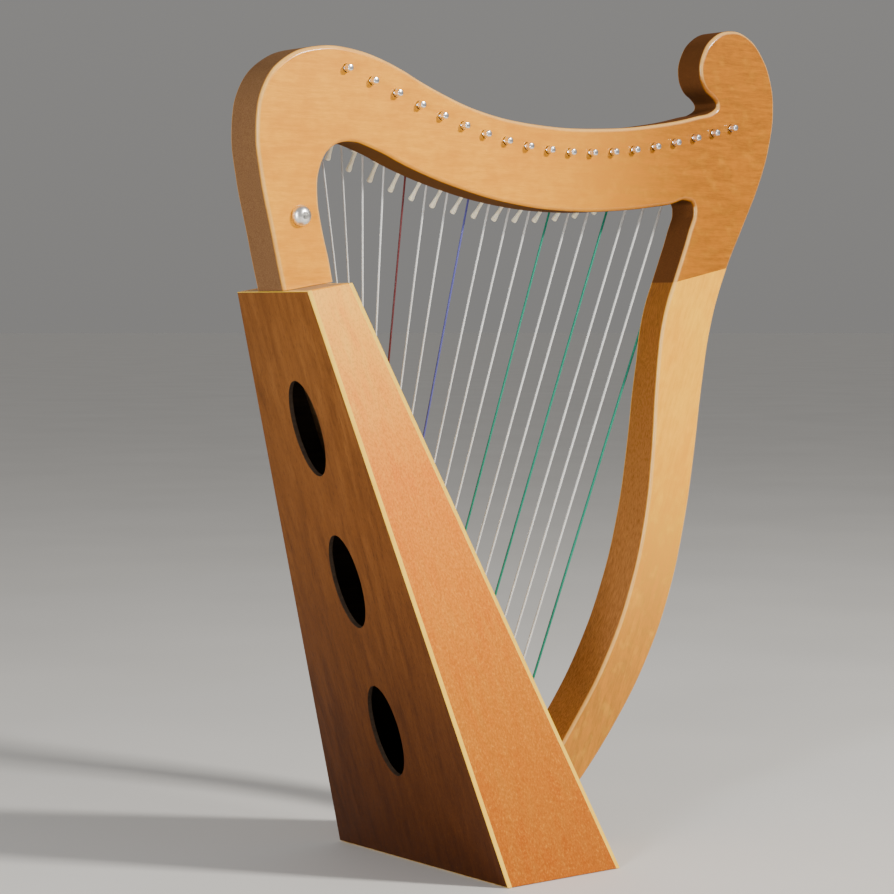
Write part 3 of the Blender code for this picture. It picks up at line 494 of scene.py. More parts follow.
def tube(name, points, radius):
    """Round tube through points, with closed ends, as a mesh."""
    curve = bpy.data.curves.new(name, "CURVE")
    curve.dimensions = "3D"
    curve.bevel_depth = radius
    curve.bevel_resolution = TUBE_RESOLUTION
    curve.use_fill_caps = True
    spline = curve.splines.new("POLY")
    spline.points.add(len(points) - 1)
    for slot, point in zip(spline.points, points):
        slot.co = (*point, 1.0)
    wire = new_object(name, curve)
    bpy.context.view_layer.update()
    return evaluated_mesh(wire)


# Neck and pillar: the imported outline, smoothed and given a fine rounded edge

SECTION_LEVEL = 0.007  # y of the plane on which the outline is taken
LEAST_BEND = math.radians(0.05)


def section_loop(node):
    """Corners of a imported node's outline, in order, as (x, z) points."""
    body = bmesh.new()
    body.from_mesh(NODES[node].data)
    bmesh.ops.remove_doubles(body, verts=body.verts, dist=1e-6)
    whole = body.verts[:] + body.edges[:] + body.faces[:]
    level = Vector((0.0, SECTION_LEVEL, 0.0))
    cut = bmesh.ops.bisect_plane(body, geom=whole, plane_co=level, plane_no=level.normalized(), dist=WELD)
    edges = [item for item in cut["geom_cut"] if isinstance(item, bmesh.types.BMEdge)]
    loops = []
    while edges:
        start = edges.pop(0)
        loop = [start.verts[0], start.verts[1]]
        while step := next((edge for edge in loop[-1].link_edges if edge in edges), None):
            edges.remove(step)
            loop.append(step.other_vert(loop[-1]))
        loops.append([Vector((vert.co.x, vert.co.z)) for vert in loop])
    body.free()
    points = max(loops, key=lambda loop: sum((b - a).length for a, b in zip(loop, loop[1:])))
    if (points[0] - points[-1]).length < 1e-6:
        points.pop()
    return [point for i, point in enumerate(points) if abs(bend(points, i)) > LEAST_BEND]


def bend(points, i):
    """Angle by which a closed outline turns at a point."""
    before = points[i] - points[i - 1]
    after = points[(i + 1) % len(points)] - points[i]
    return math.atan2(before.cross(after), before.dot(after))


def spaced(points, least=0.0005):
    """Row of points without those that crowd a neighbour; both ends stay."""
    kept = [points[0]]
    for point in points[1:-1]:
        if min((point - kept[-1]).length, (point - points[-1]).length) > least:
            kept.append(point)
    return kept + [points[-1]]


def chains(node):
    """Inner and outer edge of the neck or pillar, each from its foot to the joint, as (x, z) points."""
    points = section_loop(node)
    ranked = sorted(range(len(points)), key=lambda i: -abs(bend(points, i)))
    sharpest = sorted(ranked[:4])
    stretches = []
    for first, last in zip(sharpest, sharpest[1:] + [sharpest[0] + len(points)]):
        stretches.append([points[i % len(points)] for i in range(first, last + 1)])
    stretches = [spaced(stretch) for stretch in sorted(stretches, key=len)[2:]]
    edges = [stretch if stretch[0].x < stretch[-1].x else stretch[::-1] for stretch in stretches]
    return sorted(edges, key=lambda edge: edge[-1].x)


def smoothed(points, steps=5):
    """Points on a Catmull-Rom curve through an open row of points."""
    padded = [2 * points[0] - points[1], *points, 2 * points[-1] - points[-2]]
    result = []
    for a, b, c, d in zip(padded, padded[1:], padded[2:], padded[3:]):
        for i in range(steps):
            t = i / steps
            result.append(0.5 * (
                2 * b + (c - a) * t + (2 * a - 5 * b + 4 * c - d) * t * t
                + (3 * b - a - 3 * c + d) * t ** 3
            ))
    return result + [points[-1]]


def extended(points, reach):
    """Row of points carried on straight past its last point."""
    run = (points[-1] - points[-2]).normalized() * reach
    return points + [points[-1] + run / 2, points[-1] + run]


NECK_INNER, NECK_OUTER = chains("neck")
PILLAR_INNER, PILLAR_OUTER = chains("pillar")
THICKNESS = -2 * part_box("neck")[0].y
SHOULDER_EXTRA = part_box("neck")[1].y - THICKNESS / 2
PILLAR_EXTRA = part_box("pillar")[1].y - THICKNESS / 2
EDGE_RADIUS = 0.0030
EDGE_STEPS = 7
FOOT_OVERRUN = 0.012  # by which the solid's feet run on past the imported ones, before they are cut
PIN_HOLE_RADIUS = 0.00285
PIN_HOLE_REACH = 0.03  # half length of a pin hole's cutter
SAWN_BELOW = 0.4  # a face whose normal has less than this share along y is a sawn side
# The left face swells towards the soundbox, as (level, share of the extra thickness):
# along x over the shoulder, and along z down the pillar
SHOULDER_SWELL = smoothed([Vector(row) for row in (
    (-0.1712, 0.0), (-0.1745, 0.09), (-0.1785, 0.345), (-0.1830, 0.673), (-0.1870, 0.909), (-0.1910, 1.0),
)], 3)
PILLAR_SWELL = smoothed([Vector(row) for row in (
    (0.3350, 0.0), (0.3050, 0.232), (0.2700, 0.484), (0.2300, 0.716), (0.1850, 0.895), (0.1400, 1.0),
)], 3)


def swell_at(stations, level):
    """Share of the extra thickness at a level, read between the stations."""
    for (high, less), (low, more) in zip(stations, stations[1:]):
        if level > high:
            return less
        if level > low:
            return less + (more - less) * (high - level) / (high - low)
    return stations[-1].y


def swell(body):
    """Thickens the flat frame on its left face over the shoulder and down the pillar."""
    for axis, stations in ((Vector((1, 0, 0)), SHOULDER_SWELL), (Vector((0, 0, 1)), PILLAR_SWELL)):
        for level, _ in stations:
            geometry = body.verts[:] + body.edges[:] + body.faces[:]
            bmesh.ops.bisect_plane(body, geom=geometry, dist=1e-6, plane_co=axis * level, plane_no=axis)
    for vert in body.verts:
        if vert.co.y > 0.0:
            if vert.co.z > PILLAR_SWELL[0].x:
                vert.co.y += SHOULDER_EXTRA * swell_at(SHOULDER_SWELL, vert.co.x)
            else:
                vert.co.y += PILLAR_EXTRA * swell_at(PILLAR_SWELL, vert.co.z)


def frame_solid():
    """Neck and pillar as one solid whose feet run on past the soundbox."""
    outer = smoothed(NECK_OUTER[:-1] + PILLAR_OUTER[-2::-1])
    inner = smoothed(PILLAR_INNER[:-1] + NECK_INNER[-2::-1])
    outline = []
    for edge in (outer, inner):
        outline += extended(extended(edge, FOOT_OVERRUN)[::-1], FOOT_OVERRUN)[::-1]
    normals = []
    for i, point in enumerate(outline):
        run = (outline[(i + 1) % len(outline)] - outline[i - 1]).normalized()
        normals.append(Vector((-run.y, run.x)))
    quarter = [math.pi / 2 * i / EDGE_STEPS for i in range(EDGE_STEPS + 1)]
    inner_level = THICKNESS / 2 - EDGE_RADIUS
    profile = [(math.cos(a), inner_level + EDGE_RADIUS * math.sin(a)) for a in reversed(quarter)]
    profile += [(reach, -level) for reach, level in reversed(profile)]
    body = bmesh.new()
    rings = []
    for reach, level in profile:
        inset = EDGE_RADIUS * (1.0 - reach)
        rings.append([
            body.verts.new((point.x - normal.x * inset, level, point.y - normal.y * inset))
            for point, normal in zip(outline, normals)
        ])
    skin(body, rings)
    swell(body)
    return body_mesh("frame", body)


def block_under(first, second, depth, overrun):
    """Block 0.1 m thick under a line through two (x, z) points, from the lower x to the higher, as a mesh."""
    run = (second - first).normalized()
    down = Vector((run.y, -run.x))
    first = first - run * overrun
    second = second + run * overrun
    shape = (first, second, second + down * depth, first + down * depth)
    body = bmesh.new()
    skin(body, [[body.verts.new((point.x, y, point.y)) for point in shape] for y in (-0.05, 0.05)])
    return body_mesh("block", body)


def pin_place(k):
    """Matrix at a tuning pin in the middle plane, with Z out of the right face."""
    x, _, z = JOINTS[f"tuning_pin_{k:02d}"]["pos_m"]
    return at(x, 0.0, z) @ turn(90, "X")


def make_frame():
    """Neck and pillar with a flush joint, drilled for the tuning pins."""
    solid = frame_solid()
    outer_joint = (NECK_OUTER[-1] + PILLAR_OUTER[-1]) / 2
    inner_joint = (NECK_INNER[-1] + PILLAR_INNER[-1]) / 2
    under_joint = block_under(inner_joint, outer_joint, depth=0.5, overrun=0.31)
    neck = boolean_mesh(solid.copy(), under_joint.copy())
    neck = boolean_mesh(neck, block_under(NECK_OUTER[0], NECK_INNER[0], depth=0.03, overrun=0.02))
    pillar = boolean_mesh(solid, under_joint, "INTERSECT")
    pillar = boolean_mesh(pillar, block_under(PILLAR_INNER[0], PILLAR_OUTER[0], depth=0.08, overrun=0.04))
    holes = bmesh.new()
    for k in STRINGS:
        lathe(holes, plain(PIN_HOLE_RADIUS, PIN_HOLE_REACH), 32, pin_place(k))
    neck = boolean_mesh(neck, body_mesh("holes", holes))
    for name, mesh, woods in (
        ("neck", neck, [NECK_WOOD, NECK_SIDES]), ("pillar", pillar, [PILLAR_WOOD, PILLAR_SIDES]),
    ):
        face_materials(mesh, lambda normal, centre: 0 if abs(normal.y) > SAWN_BELOW else 1)
        piece = add_piece(f"{name}_wood", mesh, woods, replaces=[name])
        weighted = piece.modifiers.new("even_faces", "WEIGHTED_NORMAL")
        weighted.keep_sharp = True


make_frame()


# Soundbox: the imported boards, flush with each other and eased along their outer arrises

END_SHARE = 0.1  # share of a board's height at each end that holds its end corners
OUTER_SHARE = 0.6  # share of half a board's width that its holes and slots keep within
ON_PLANE = 1e-4  # a point nearer than this to a plane lies on it
FACING = 0.93  # a face whose normal has more than this share along a direction faces it
GLUE_GAP = 0.00015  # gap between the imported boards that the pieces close
HOLES_APART = 0.02  # more than two neighbouring points of one hole's rim, less than two holes
CUTTER_REACH = 0.02  # half length of a sound hole's cutter


def corners(node):
    """The eight corners of a packed board, as {(back or front, right or left, low or high): point}."""
    low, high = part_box(node)
    margin = END_SHARE * (high.z - low.z)
    found = {}
    for end, test in ((0, lambda z: z < low.z + margin), (1, lambda z: z > high.z - margin)):
        points = [vert.co.copy() for vert in NODES[node].data.vertices if test(vert.co.z)]
        for side in (0, 1):
            across = low.y < 0 < high.y
            middle = 0.0 if across else sum(point.y for point in points) / len(points)
            half = [point for point in points if (point.y > middle) == side]
            if across:
                reach = OUTER_SHARE * max(abs(point.y) for point in half)
                half = [point for point in half if abs(point.y) > reach]
            found[0, side, end] = min(half, key=lambda point: point.x)
            found[1, side, end] = max(half, key=lambda point: point.x)
    return found


def board_mesh(node, grow, arris, width=0.0007):
    """Board from its packed corners, grown towards back and front; arris(middle) says which edges to ease."""
    at_corner = corners(node)
    body = bmesh.new()
    rings = []
    for end in (0, 1):
        ring = []
        for front, side in ((0, 0), (0, 1), (1, 1), (1, 0)):
            across = (at_corner[1, side, end] - at_corner[0, side, end]).normalized()
            shift = across * (-grow[0], grow[1])[front]
            ring.append(body.verts.new(at_corner[front, side, end] + shift))
        rings.append(ring)
    skin(body, rings)
    soften(body, [edge for edge in body.edges if arris((edge.verts[0].co + edge.verts[1].co) / 2)], width, 4)
    return body_mesh(node, body)


def oval_holes():
    """Cutters for the sound holes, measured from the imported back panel."""
    low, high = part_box("back_panel")
    margin = END_SHARE * (high.z - low.z)
    at_corner = corners("back_panel")
    foot = (at_corner[0, 0, 0] + at_corner[0, 1, 0]) / 2
    head = (at_corner[0, 0, 1] + at_corner[0, 1, 1]) / 2
    run = (head - foot).normalized()
    rim = [v.co for v in NODES["back_panel"].data.vertices if low.z + margin < v.co.z < high.z - margin]
    heights = sorted((point - foot).dot(run) for point in rim)
    groups = [[heights[0]]]
    for height in heights[1:]:
        if height - groups[-1][-1] > HOLES_APART:
            groups.append([])
        groups[-1].append(height)
    half_width = max(abs(point.y) for point in rim)
    lean = Matrix.Rotation(math.atan2(run.x, run.z), 4, "Y")
    holes = bmesh.new()
    for group in groups:
        middle = foot + run * (group[0] + group[-1]) / 2
        half_height = (group[-1] - group[0]) / 2
        oval = Matrix.Diagonal((half_height, half_width, 1.0, 1.0))
        lathe(holes, plain(1.0, CUTTER_REACH), 96, at(*middle) @ lean @ turn(90, "Y") @ oval)
    return body_mesh("oval_holes", holes)


def outer_face(at_corner, front):
    """A point on a board's back (0) or front (1) face, and the direction out of it."""
    low_right, low_left = at_corner[front, 0, 0], at_corner[front, 1, 0]
    out = (low_left - low_right).cross(at_corner[front, 0, 1] - low_right).normalized()
    if (out.x > 0) != bool(front):
        out.negate()
    return (low_right + at_corner[front, 1, 1]) / 2, out


def edges_on(point, normal):
    """Rule that picks the edges that lie in a plane."""
    return lambda middle: abs((middle - point).dot(normal)) < ON_PLANE


def make_back():
    """Back panel with pale edges and dark inside, and three oval sound holes."""
    back = corners("back_panel")
    face, out = outer_face(back, 0)
    panel = boolean_mesh(board_mesh("back_panel", (0.0, GLUE_GAP), edges_on(face, out)), oval_holes())
    hole_reach = OUTER_SHARE * min(abs(back[0, side, 1].y) for side in (0, 1))
    lowest, highest = back[0, 0, 0].z + 0.01, back[0, 0, 1].z - 0.01

    def rule(normal, centre):
        if normal.dot(out) > FACING:
            return 0
        in_hole = abs(centre.y) < hole_reach and lowest < centre.z < highest
        return 2 if in_hole or normal.dot(out) < -FACING else 1

    face_materials(panel, rule)
    add_piece("back_panel_wood", panel, [BACK_WOOD, EDGE_WOOD, RAW_WOOD], replaces=["back_panel"])


def make_soundboard():
    """Soundboard with pale edges and dark inside."""
    face, out = outer_face(corners("soundboard"), 1)
    sound = board_mesh("soundboard", (GLUE_GAP, 0.0), edges_on(face, out))

    def rule(normal, centre):
        if abs(normal.dot(out)) < FACING:
            return 1
        return 0 if normal.dot(out) > 0 else 2

    face_materials(sound, rule)
    add_piece("soundboard_wood", sound, [BOARD_WOOD, EDGE_WOOD, RAW_WOOD], replaces=["soundboard"])


def make_side(name, side):
    """Side panel, dark inside, with its outer edge at the top and three edges at the floor eased."""
    at_corner = corners(name)
    outer = int(side > 0)
    eased = [(at_corner[0, outer, end] + at_corner[1, outer, end]) / 2 for end in (0, 1)]
    eased += [(at_corner[front, 0, 0] + at_corner[front, 1, 0]) / 2 for front in (0, 1)]
    mesh = board_mesh(name, (GLUE_GAP, GLUE_GAP),
                      lambda middle: min((middle - point).length for point in eased) < 2 * GLUE_GAP, 0.0005)
    face_materials(mesh, lambda normal, centre: 1 if normal.y * side < -0.5 else 0)
    add_piece(f"{name}_wood", mesh, [SIDE_WOOD, RAW_WOOD], replaces=[name])


make_back()
make_soundboard()
make_side("side_panel_right", -1)
make_side("side_panel_left", 1)


# Stringing

LEVER_TO_BRIDGE = 0.0145  # from a lever's axle up the string to its bridge pin
STRING_LEVEL = 0.0210  # distance of the strings from the middle plane at the bridge pins
STRING_RADII = (0.00060, 0.00090)  # of the first and the last string
STRING_BEND = 0.0012  # length of a string that its turn at the rib or the bridge pin takes
BRIDGE_PIN_RADIUS = 0.0013
BRIDGE_GROOVE_RADIUS = 0.0010
PIN_RADIUS = 0.0025
PIN_EYE = 0.0245  # distance of the string hole in a tuning pin from the middle plane
PIN_EYE_RADIUS = 0.0010
PIN_DRIVE = 0.0048  # length of a pin's squared end
DRIVE_HALF_WIDTHS = (0.00226, 0.00214)  # of the squared end, at its foot and at its tip
THREAD_REACH = 0.0042  # from the neck's left face to the end of a pin's thread
THREAD_PITCH = 0.0006
THREAD_DEPTH = 0.00016
THREAD_TURNS = 12
COIL_TURNS = 2
COIL_STEPS = 22  # points in each turn of string
TAIL = (-0.0055, 0.0004, -0.0006)  # end of a string's tail, from the middle of the pin's eye
KNOT_RADIUS = 0.0022
KNOT_HALF_LENGTH = 0.0013
KNOT_GAP = 0.0012  # from the bar to the middle of a knot
NECK_FACE = THICKNESS / 2


def lever_frame(k):
    """Matrix at a lever's axle: X along the axle, Y away from the neck, Z up the string."""
    joint = JOINTS[f"sharping_lever_{k:02d}"]
    axle = Vector(joint["axis"]).normalized()
    up = Vector((-axle.z, 0.0, axle.x))
    matrix = Matrix((axle, (0.0, 1.0, 0.0), up)).transposed().to_4x4()
    matrix.translation = joint["pos_m"]
    return matrix


def string_radius(k):
    """Strings grow thicker from the shoulder to the pillar."""
    first, last = STRING_RADII
    return first + (last - first) * (k - 1) / (STRING_COUNT - 1)


RIB = corners("string_rib")
RIB_FOOT = (RIB[1, 0, 0] + RIB[1, 1, 0]) / 2
RIB_HEAD = (RIB[1, 0, 1] + RIB[1, 1, 1]) / 2
RIB_RUN = (RIB_HEAD - RIB_FOOT).normalized()
RIB_OUT = Vector((RIB_RUN.z, 0.0, -RIB_RUN.x))
RIB_THICKNESS = (RIB[1, 0, 0] - RIB[0, 0, 0]).dot(RIB_OUT)
TURN_OUT = RIB_OUT.to_track_quat("Z", "Y").to_matrix().to_4x4()
BAR_DEPTH = RIB_THICKNESS + 0.0036  # from the rib's outer face in to the bar under the soundboard
BAR_THICKNESS = 0.0040


def bridge_of(k):
    """Point of the middle plane at a string's bridge pin, and the direction up the string."""
    here = lever_frame(k)
    up = here.col[2].to_3d()
    bridge = here.translation + up * LEVER_TO_BRIDGE
    bridge.y = 0.0
    return bridge, up


def string_foot(k):
    """Point on the rib's outer face where a string comes out."""
    bridge, up = bridge_of(k)
    return bridge - up * ((bridge - RIB_FOOT).dot(RIB_OUT) / up.dot(RIB_OUT))


def round_corner(before, corner, after, steps=5):
    """Points that turn a corner of a string's route smoothly."""
    start = corner + (before - corner).normalized() * STRING_BEND
    end = corner + (after - corner).normalized() * STRING_BEND
    points = []
    for i in range(steps + 1):
        t = i / steps
        points.append(start.lerp(corner, t).lerp(corner.lerp(end, t), t))
    return points


def make_string(k):
    """A string from its knot to its tuning pin, the turns on the pin and the knot's bead."""
    radius = string_radius(k)
    material = STRING_COLOURS.get(k, CLEAR)
    foot = string_foot(k)
    bridge = bridge_of(k)[0] + Vector((0.0, STRING_LEVEL, 0.0))
    knot = foot - RIB_OUT * (BAR_DEPTH + BAR_THICKNESS + KNOT_GAP)
    x, _, z = JOINTS[f"tuning_pin_{k:02d}"]["pos_m"]
    reach = PIN_RADIUS + radius
    run = Vector((x - bridge.x, z - bridge.z))
    touch = math.atan2(run.y, run.x) + math.pi - math.acos(reach / run.length)
    if touch > math.pi:
        touch -= 2 * math.pi

    def on_coil(share):
        """Point of the turns around the pin, from the string's level to the eye."""
        angle = touch + (2 * math.pi * COIL_TURNS - touch) * share
        level = STRING_LEVEL + (PIN_EYE - STRING_LEVEL) * share
        return Vector((x + reach * math.cos(angle), level, z + reach * math.sin(angle)))

    contact = on_coil(0.0)
    route = [knot, *round_corner(knot, foot, bridge), *round_corner(foot, bridge, contact), contact]
    add_piece(f"string_{k:02d}", tube("string", route, radius), material,
              replaces=["string_set"], angle=60)

    steps = COIL_STEPS * COIL_TURNS
    eye = Vector((x, PIN_EYE, z))
    coil = [on_coil(i / steps) for i in range(steps + 1) if i != steps - 1]
    coil += [eye + Vector(step) for step in ((0.6 * PIN_RADIUS, 0.0, 0.0), (-PIN_RADIUS, 0.0, 0.0), TAIL)]
    add_piece(f"string_turns_{k:02d}", tube("turns", coil, radius), material, f"tuning_pin_{k:02d}",
              angle=60)

    bead = turned("knot", rounded(KNOT_RADIUS, KNOT_HALF_LENGTH, KNOT_RADIUS / 2), 24, at(*knot) @ TURN_OUT)
    add_piece(f"string_knot_{k:02d}", bead, material)


def make_rib():
    """Rib on the soundboard with a metal eyelet for each string, and the bar under the board."""
    rib = board_mesh("string_rib", (0.00025, 0.0), edges_on(RIB_FOOT, RIB_OUT), 0.0009)
    add_piece("string_rib_wood", rib, RIB_WOOD, replaces=["string_rib"])

    bar = bmesh.new()
    outline = [RIB[1, side, end] for side, end in ((0, 0), (1, 0), (1, 1), (0, 1))]
    depths = (BAR_DEPTH, BAR_DEPTH + BAR_THICKNESS)
    skin(bar, [[bar.verts.new(point - RIB_OUT * depth) for point in outline] for depth in depths])
    soften(bar, bar.edges[:], 0.0006)
    add_piece("string_bar", body_mesh("bar", bar), INNER_WOOD)

    eyelet = bmesh.new()
    # section of an eyelet, as (distance from the string's axis, height over the rib)
    lathe(eyelet, [
        (0.0010, 0.0), (0.0010, 0.0004), (0.0013, 0.0007), (0.0018, 0.0007), (0.0022, 0.0003), (0.0022, 0.0),
        (0.0010, 0.0),
    ], 28)
    bmesh.ops.remove_doubles(eyelet, verts=eyelet.verts, dist=WELD)
    mesh = body_mesh("eyelet", eyelet)
    for k in STRINGS:
        add_piece(f"eyelet_{k:02d}", mesh, BRASS, matrix=at(*string_foot(k)) @ TURN_OUT)


def make_tuning_pins():
    """Threaded pins with a squared, domed drive end and a string hole."""
    low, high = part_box("tuning_pin_01")
    near, far = -low.y, -high.y
    drive = near - PIN_DRIVE
    thread = -NECK_FACE - THREAD_REACH
    profile = [(0.0, far), (0.0017, far), (0.0021, far + 0.00015), (PIN_RADIUS, far + 0.0006)]
    profile.append((PIN_RADIUS, thread))
    for i in range(THREAD_TURNS):
        root = thread + THREAD_PITCH * (i + 0.5)
        profile += [(PIN_RADIUS - THREAD_DEPTH, root), (PIN_RADIUS, root + THREAD_PITCH / 2)]
    profile += [
        (PIN_RADIUS, drive - 0.0003), (PIN_RADIUS, drive), (PIN_RADIUS, near - 0.0013),
        (PIN_RADIUS - 0.00022, near - 0.0007), (0.0018, near - 0.00025), (0.0010, near - 0.00006),
        (0.0, near),
    ]

    def flat(height):
        """Half width of the squared end at a height: it tapers, and its tip is domed."""
        if height < drive:
            return 2 * PIN_RADIUS
        foot, tip = DRIVE_HALF_WIDTHS
        return foot - (foot - tip) * (height - drive) / PIN_DRIVE - 0.4 * max(0.0, height - near + 0.0009)

    eye = turned("eye", plain(PIN_EYE_RADIUS, 2 * PIN_RADIUS), 20, at(0.0, 0.0, -PIN_EYE) @ turn(90, "Y"))
    mesh = boolean_mesh(turned("pin", profile, 48, flat=flat), eye)
    for k in STRINGS:
        name = f"tuning_pin_{k:02d}"
        add_piece(f"{name}_steel", mesh, CHROME, name, [name], pin_place(k), 28)


# Sharping levers, their brackets and the bridge pins, in the frame of the lever's axle

AXLE_LEVEL = 0.0255  # distance of the levers' axles from the middle plane
HUB_RADIUS = 0.0030
HUB_HALF_LENGTH = 0.0038
CAM_TIP = 0.0044  # distance of the cam's groove from the axle
HANDLE_LEAN = 28  # degrees out from the string
EAR_FACES = (0.0041, 0.0053)  # distances of an ear's two faces from the string
SCREW_HEIGHTS = {"upper": 0.0082, "lower": -0.0036}


def rounded_block(size, centre, edge, segments=3):
    """Box with rounded edges, as a mesh."""
    block = bmesh.new()
    bmesh.ops.create_cube(block, size=1.0, matrix=at(*centre) @ Matrix.Diagonal((*size, 1.0)))
    soften(block, block.edges[:], edge, segments)
    return body_mesh("block", block)


def superellipse(wide, thick, power=0.75, count=28):
    """Points of a rounded rectangle with the given half sizes."""
    for i in range(count):
        x, y = (share(2 * math.pi * i / count) for share in (math.cos, math.sin))
        yield math.copysign(abs(x) ** power, x) * wide, math.copysign(abs(y) ** power, y) * thick


def lever_mesh():
    """Hub, cam and flared handle of a sharping lever."""
    hub = turned("hub", rounded(HUB_RADIUS, HUB_HALF_LENGTH, 0.0005), 40, turn(90, "Y"))
    cam = rounded_block((0.0050, 0.0022, 0.0036), (0.0, 0.0, 0.0024), 0.00045)
    groove = turned("groove", plain(STRING_RADII[0], 0.006), 24, at(0.0, 0.0, CAM_TIP) @ turn(90, "X"))
    # handle's sections, as (distance from the axle, half width, half thickness)
    waist = [Vector(row) for row in (
        (0.0006, 0.00150, 0.00150), (0.0030, 0.00128, 0.00122), (0.0065, 0.00115, 0.00105),
        (0.0100, 0.00120, 0.00105), (0.0130, 0.00150, 0.00120), (0.0152, 0.00185, 0.00136),
        (0.0163, 0.00195, 0.00140), (0.0170, 0.00175, 0.00126), (0.01740, 0.00125, 0.00090),
        (0.0175, 0.00055, 0.00040),
    )]
    handle = bmesh.new()
    skin(handle, [
        [handle.verts.new((x, y, -drop)) for x, y in superellipse(wide, thick)]
        for drop, wide, thick in smoothed(waist, 3)
    ])
    handle.transform(turn(HANDLE_LEAN, "X"))
    mesh = boolean_mesh(hub, body_mesh("handle", handle), "UNION")
    return boolean_mesh(mesh, boolean_mesh(cam, groove), "UNION")


def bracket_mesh():
    """Pressed bracket: base plate, two rounded ears and the axle's riveted ends."""
    base = NECK_FACE - AXLE_LEVEL
    body = bmesh.new()
    body.from_mesh(rounded_block((0.0104, 0.0012, 0.0240), (0.0, base + 0.0007, 0.0063), 0.0004))
    # an ear's outline, as (distance from the axle away from the neck, height)
    outline = [(base + 0.0006, -0.0030), (0.0002, -0.0027)]
    for i in range(9):
        angle = math.radians(-80 + 160 * i / 8)
        outline.append((0.0026 * math.cos(angle), 0.0027 * math.sin(angle)))
    outline += [(0.0002, 0.0027), (base + 0.0006, 0.0030)]
    for side in (-1, 1):
        ear = bmesh.new()
        skin(ear, [[ear.verts.new((side * x, y, z)) for y, z in outline] for x in EAR_FACES])
        rims = [e for e in ear.edges if abs(e.verts[0].co.x - e.verts[1].co.x) < WELD]
        soften(ear, rims, 0.0002, 2)
        body.from_mesh(body_mesh("ear", ear))
        rivet = [(0.0, 0.0), (0.0014, 0.0), (0.0014, 0.00022), (0.0010, 0.00050), (0.0, 0.00060)]
        lathe(body, rivet, 20, at(side * EAR_FACES[1], 0.0, 0.0) @ turn(90 * side, "Y"))
    lathe(body, plain(0.0010, EAR_FACES[0] + 0.0001), 16, turn(90, "Y"))
    return body_mesh("bracket", body)


def screw_mesh():
    """Round-headed wood screw's head with a cross slot."""
    mesh = turned("screw", [
        (0.0, 0.0), (0.0019, 0.0), (0.0019, 0.00035), (0.0017, 0.0008), (0.0012, 0.00115),
        (0.0006, 0.00130), (0.0, 0.00135),
    ], 28)
    for size in ((0.0020, 0.0004, 0.0020), (0.0004, 0.0020, 0.0020)):
        mesh = boolean_mesh(mesh, rounded_block(size, (0.0, 0.0, 0.0016), 0.00008, 1))
    return mesh


def bridge_pin_mesh():
    """Grooved steel bridge pin, Z away from the neck, from the string's level."""
    root = NECK_FACE - 0.0010 - STRING_LEVEL
    profile = [(0.0, root), (BRIDGE_PIN_RADIUS, root), (BRIDGE_PIN_RADIUS, -0.0010)]
    for i in range(9):
        angle = math.pi * i / 8
        depth = (BRIDGE_PIN_RADIUS - BRIDGE_GROOVE_RADIUS) * math.sin(angle)
        profile.append((BRIDGE_PIN_RADIUS - depth, -0.0008 * math.cos(angle)))
    profile += [(BRIDGE_PIN_RADIUS, 0.0024), (0.0011, 0.0028), (0.0006, 0.0030), (0.0, 0.0030)]
    return turned("bridge_pin", profile, 28)


def make_levers():
    """A lever, a bracket with two screws and a bridge pin for each string."""
    lever, bracket, screw, bridge = lever_mesh(), bracket_mesh(), screw_mesh(), bridge_pin_mesh()
    plate_top = NECK_FACE - AXLE_LEVEL + 0.0013
    outward = turn(-90, "X")
    for k in STRINGS:
        name = f"sharping_lever_{k:02d}"
        here = lever_frame(k)
        add_piece(f"{name}_handle", lever, CREAM, name, [name], here, 50)
        add_piece(f"lever_bracket_{k:02d}", bracket, NICKEL, ROOT, ["lever_brackets"],
                  here, 30)
        for place, height in SCREW_HEIGHTS.items():
            # each screw's slot stands at another angle
            add_piece(f"bracket_screw_{place}_{k:02d}", screw, STEEL, ROOT, (),
                      here @ at(0.0, plate_top, height) @ outward @ turn(37 * k + 200 * height, "Z"))
        beside = -(BRIDGE_GROOVE_RADIUS + string_radius(k))
        level = STRING_LEVEL - here.translation.y
        add_piece(f"bridge_pin_{k:02d}", bridge, STEEL, ROOT, (),
                  here @ at(beside, level, LEVER_TO_BRIDGE) @ outward)


# Shoulder bolt and its sleeve nut

SOCKET_RADIUS = 0.0026  # to the corners of the hexagon
RIM = 0.0010  # height of the straight rim under a dome
DOME_STEPS = 10


def make_shoulder_bolt():
    """Domed heads with a hexagonal socket on both faces of the neck."""
    for name, sign, seat in (("neck_bolt", -1, NECK_FACE), ("neck_bolt_nut", 1, NECK_FACE + SHOULDER_EXTRA)):
        low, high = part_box(name)
        radius = (high.x - low.x) / 2
        centre = (low + high) / 2
        height = (low.y if sign < 0 else high.y) * sign - seat
        neck = radius - 0.0004
        dome = [(0.0, -0.002), (neck, -0.002), (neck, 0.0), (radius, 0.0003), (radius, RIM)]
        for i in range(1, DOME_STEPS):
            angle = math.pi / 2 * i / DOME_STEPS
            dome.append((radius * math.cos(angle) ** 0.8, RIM + (height - RIM) * math.sin(angle)))
        dome.append((0.0, height))
        socket = [(0.0, 0.0014), (SOCKET_RADIUS, 0.0018), (SOCKET_RADIUS, 0.006), (0.0, 0.006)]
        mesh = boolean_mesh(turned("head", dome, 64), turned("socket", socket, 6))
        place = at(centre.x, sign * seat, centre.z) @ turn(-90 * sign, "X")
        add_piece(f"{name}_head", mesh, SATIN, ROOT, [name], place, 30)


for number in STRINGS:
    make_string(number)
make_rib()
make_tuning_pins()
make_levers()
make_shoulder_bolt()

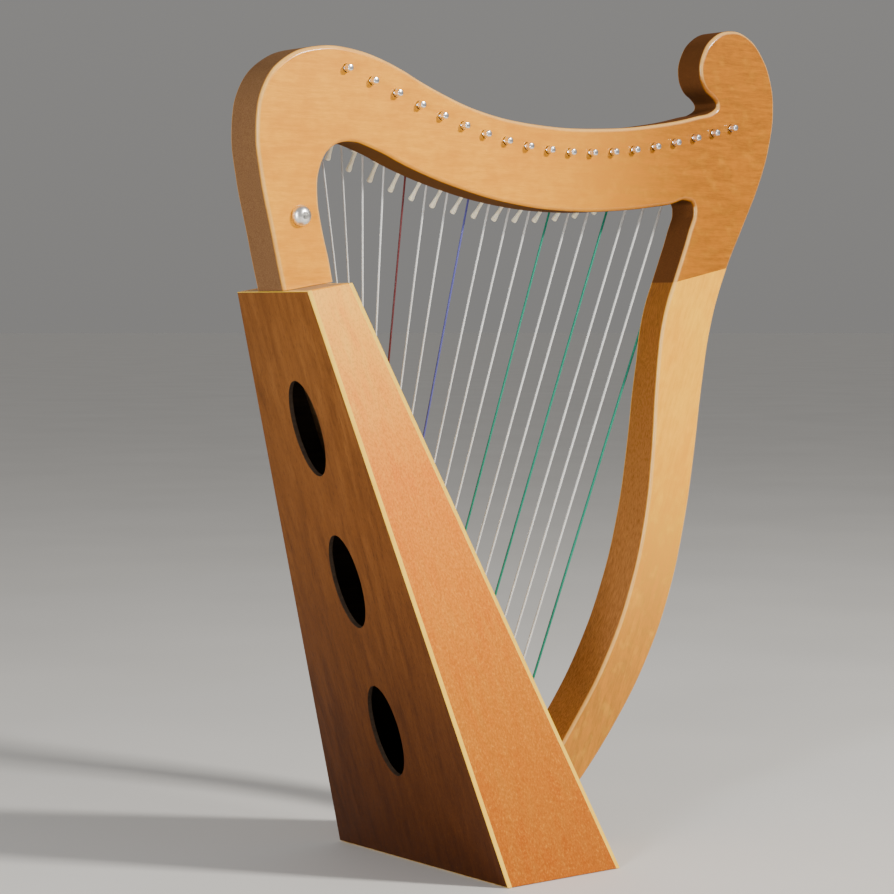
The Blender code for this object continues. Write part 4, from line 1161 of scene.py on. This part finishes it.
# What stays as packed: the parts inside the box and the joints
for name, node in NODES.items():
    if not node.hide_render:
        node.data.materials.clear()
        node.data.materials.append(ZINC if name.startswith("pillar_bolt") else INNER_WOOD)


# Stage and light

HARP_MIDDLE = Vector((0.0, 0.0, 0.30))
SKY_STRENGTH = (0.23, 0.34)  # at the horizon, where it is as bright as the far floor, and high up
SKY_HIGH = 0.7  # sine of the elevation from which the sky has its full strength


def make_stage():
    """Plain pale floor."""
    disc = bmesh.new()
    bmesh.ops.create_circle(disc, cap_ends=True, segments=96, radius=40.0)
    floor = new_object("floor", body_mesh("floor", disc))
    m = Nodes("pale_floor")
    tone = m.noise(m.place(), 3.0, 2.0, 0.5)
    m.colour(m.ramp(tone, [(0.3, (0.70, 0.69, 0.67)), (0.7, (0.74, 0.73, 0.71))]))
    m.roughness(tone, 0.65, 0.75)
    floor.data.materials.append(m.owner)
    floor.location.z = -0.0004


def area_light(name, direction, distance, size, energy, colour=(1.0, 1.0, 1.0)):
    """Soft rectangular light that looks at the middle of the harp from a direction."""
    data = bpy.data.lights.new(name, "AREA")
    data.shape = "RECTANGLE"
    data.size, data.size_y = size
    data.energy = energy
    data.color = colour
    light = new_object(name, data)
    aim = Vector(direction).normalized()
    light.location = HARP_MIDDLE + aim * distance
    light.rotation_euler = aim.to_track_quat("Z", "Y").to_euler()


def make_light():
    """Key from the front right, a tall narrow light from the left and a soft sky."""
    area_light("key", (0.40, -0.77, 0.50), 2.8, (0.30, 0.30), 115.0, (1.0, 0.96, 0.89))
    area_light("strip", (-0.88, -0.42, 0.16), 1.9, (0.25, 1.1), 22.0)
    sky = Nodes("sky", "worlds", "Background")
    sky.set(Color=(1.0, 0.98, 0.95, 1.0))
    low, high = SKY_STRENGTH
    inputs = {"Value": sky.along("Generated", "Z"), "From Max": SKY_HIGH, "To Min": low, "To Max": high}
    sky.feed(sky.shader.inputs["Strength"], sky.add("MapRange", inputs).outputs["Result"])
    bpy.context.scene.world = sky.owner


make_stage()
make_light()
